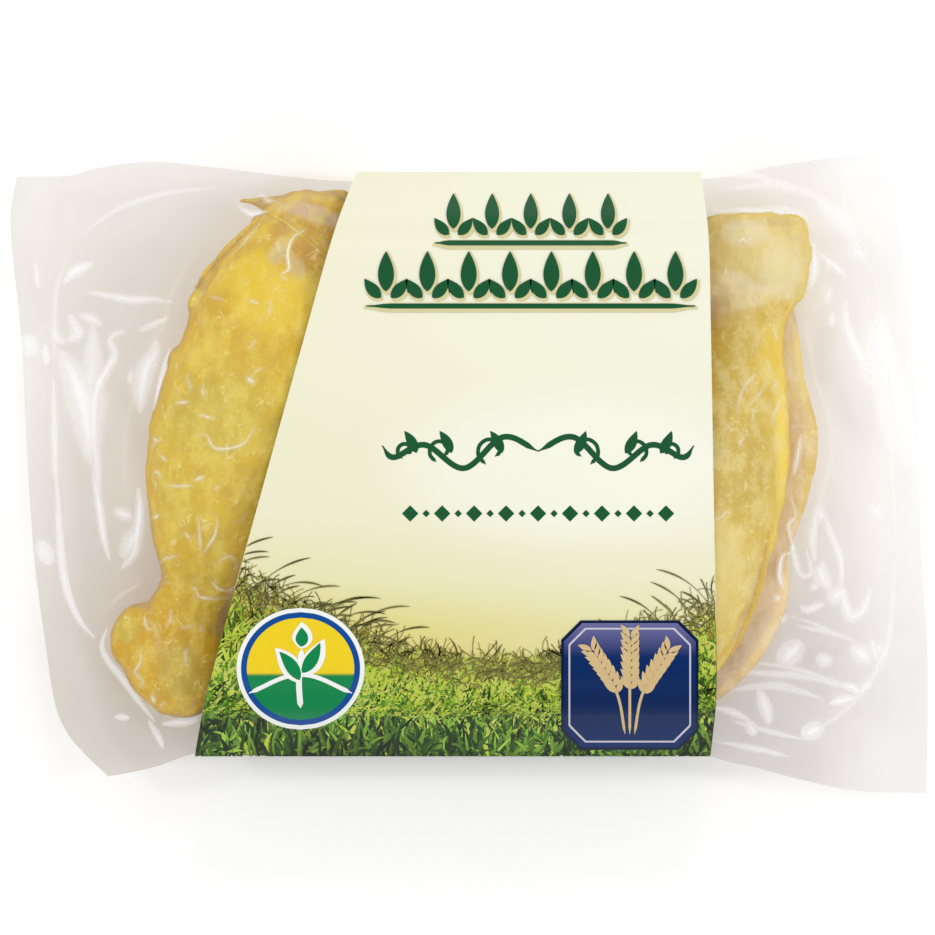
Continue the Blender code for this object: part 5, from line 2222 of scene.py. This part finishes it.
PALE_SKIN = SkinFinish(
    name="pale_skin",
    deep=(0.7, 0.48, 0.06),
    fresh=(0.79, 0.58, 0.12),
    fat=(0.86, 0.73, 0.31),
    blush=(0.77, 0.53, 0.14),
    rim=(0.9, 0.63, 0.04),
    fat_share=0.62,
    blush_share=0.5,
    patches=(
        Patch((65.4, 22.2), (9.5, 22), (0.68, 0.45, 0.055), 0.75),
        Patch((66, 2), (10, 16), (0.6, 0.42, 0.09), 0.7),
        Patch((71.8, 55), (18, 15), (0.82, 0.63, 0.25), 0.9, 0, 0.6),
        Patch((74, 64.6), (17, 1.7), (0.66, 0.49, 0.19), 0.6, 0, 0.4),
        Patch((62, 60), (4, 8.5), (0.76, 0.56, 0.18), 0.7),
        # Partly the pale pink-tan under the knuckle cap, partly painted light that lifts the shade
        # of the hollow between cap and shank
        Patch((64, 44.4), (10, 6.5), (1, 0.8, 0.5), 0.9, 0, 0.7),
        Patch((79, 52), (7, 8), (0.87, 0.76, 0.46), 0.7, 0, 0.7),
        Patch((70, 61.5), (6.5, 4), (0.87, 0.76, 0.48), 0.7, 0, 0.7),
        Patch((70, 48.5), (6, 1.6), (0.88, 0.77, 0.54), 0.6, -24, 0.7),
        # Painted shadow along the fold under the knuckle cap
        Patch((72.3, 40.6), (13, 2.2), (0.72, 0.47, 0.06), 0.6, 6, 0.5),
        Patch((79.3, 40.9), (3.4, 2.6), (0.82, 0.47, 0.02), 0.8),
        Patch((80.8, 12), (3.8, 30), (0.97, 0.74, 0.09), 0.95, 0, 0.5),
        Patch((77.5, 30), (4.4, 9), (0.86, 0.6, 0.04), 0.7),
        Patch((78.8, 41.6), (4.4, 2.8), (0.74, 0.44, 0.01), 0.95, 0, 0.5),
        Patch((73.4, -24.3), (1.6, 10.5), (0.64, 0.39, 0.02), 0.7, -10, 0.6),
        Patch((66.5, -40), (1.4, 8.5), (0.64, 0.39, 0.03), 0.6, -28, 0.6),
        Patch((63.6, -55), (4, 5), (0.66, 0.37, 0.035), 0.8),
        Patch((60, -24), (11, 16), (0.88, 0.72, 0.27), 0.7),
        Patch((76, -21), (3, 8), (0.84, 0.56, 0.04), 0.7, -12),
    ),
)
PEACH_SKIN = SkinFinish(
    name="loose_peach_skin",
    deep=(0.78, 0.54, 0.24),
    fresh=(0.82, 0.59, 0.28),
    fat=(0.92, 0.78, 0.5),
    blush=(0.84, 0.56, 0.18),
    rim=(0.88, 0.64, 0.2),
    fat_share=0.65,
    blush_share=0.5,
    roughness=0.35,
    patches=(
        Patch((86.8, 2), (3.6, 17), (0.79, 0.55, 0.15), 0.85, -4),
        Patch((84.5, 27), (4, 12), (0.9, 0.72, 0.24), 0.7),
        Patch((79.5, -30), (3.5, 5), (0.84, 0.5, 0.1), 0.7),
        Patch((76, -36), (6.5, 13), (0.93, 0.71, 0.4), 0.75, -24),
        Patch((70, -43), (2.2, 9), (0.64, 0.42, 0.15), 0.7, -34),
    ),
)
ROLLED_SKIN = SkinFinish(
    name="rolled_skin",
    deep=(0.72, 0.46, 0.02),
    fresh=(0.82, 0.56, 0.04),
    fat=(0.88, 0.68, 0.12),
    blush=(0.7, 0.41, 0.02),
    rim=(0.66, 0.39, 0.02),
    fat_share=0.4,
)
HIDDEN_SKIN = SkinFinish(
    name="inner_skin",
    deep=(0.68, 0.44, 0.03),
    fresh=(0.78, 0.55, 0.06),
    fat=(0.85, 0.7, 0.24),
    blush=(0.74, 0.45, 0.02),
    rim=(0.66, 0.4, 0.015),
)


def build_pack(shared: Shared) -> None:
    """Builds every piece of the pack and hands it over to the frame.

    Args:
        shared: the shared node groups.
    """
    yellow, pale = YELLOW_SKIN.material(shared), PALE_SKIN.material(shared)
    peach, hidden = PEACH_SKIN.material(shared), HIDDEN_SKIN.material(shared)
    left = Drumstick("drumstick_left", KNUCKLE_DOWN, LEFT_CORNERS).build(yellow)
    right = Drumstick("drumstick_right", KNUCKLE_UP, RIGHT_CORNERS).build(pale)
    second = Drumstick("drumstick_second", KNUCKLE_UP, (), SECOND_FROM_FOURTH, 26, 1.8, pimple=0.0)
    third = Drumstick("drumstick_third", KNUCKLE_DOWN, (), THIRD_FROM_FIRST, 26, 1.8, pimple=0.0)
    tip = Drumstick("skin_tip", SKIN_TIP, (), 0.0, 40, 0.4, 0.4, 4.0, pimple=0.0)
    flap = Drumstick("loose_skin", LOOSE_SKIN, (), 0.0, 50, 0.6, 0.8, 6.0, pimple=0.0)
    meat = [left, right, second.build(hidden), third.build(hidden)]
    meat += [tip.build(yellow), flap.build(peach)]
    edge = SkinEdge("skin_edge", EDGE_PATH, 0.9)
    rim = SkinEdge("skin_rim", RIM_PATH, 2.4)
    fold = SkinEdge("skin_fold", FOLD_PATH, 1.5)
    rolled = ROLLED_SKIN.material(shared)
    meat += [edge.build([left], hidden), rim.build([left], rolled)]
    meat.append(fold.build([right, meat[5]], rolled))
    for piece in meat:
        hand_over(piece, "film_and_meat")
    film = Film().build(meat, FilmFinish().material())
    hand_over(film[0], "film_and_meat", "pouch")
    for piece in film[1:]:
        hand_over(piece, "film_and_meat")

    card_finish = CardFinish()
    card = CardSleeve()
    band = card.build(card_finish.material(shared), card_finish.back())
    hand_over(band, "printed_card", "sleeve")
    ink = InkFinish().material()
    prints = (
        Meadow(card_finish),
        Frieze(),
        Flourish(),
        SproutBadge((-43.4, -49.8), 16.4, 15.6),
        EarBadge((41.0, -54.0), 17.6, 16.6),
    )
    for item in prints:
        hand_over(item.build(card, ink), "printed_card")


def main() -> None:
    """Loads the frame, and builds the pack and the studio."""
    logging.basicConfig(level=logging.INFO, format="%(name)s: %(message)s")
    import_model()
    solid_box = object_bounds()
    build_pack(Shared())
    Studio().build()
    start_fresh()
    boxes = {"cad": solid_box, "visual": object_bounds()}
    {key: [list(corner) for corner in box] for key, box in boxes.items()}
    LOG.info("boxes: %s", boxes)


if __name__ == "__main__":
    main()
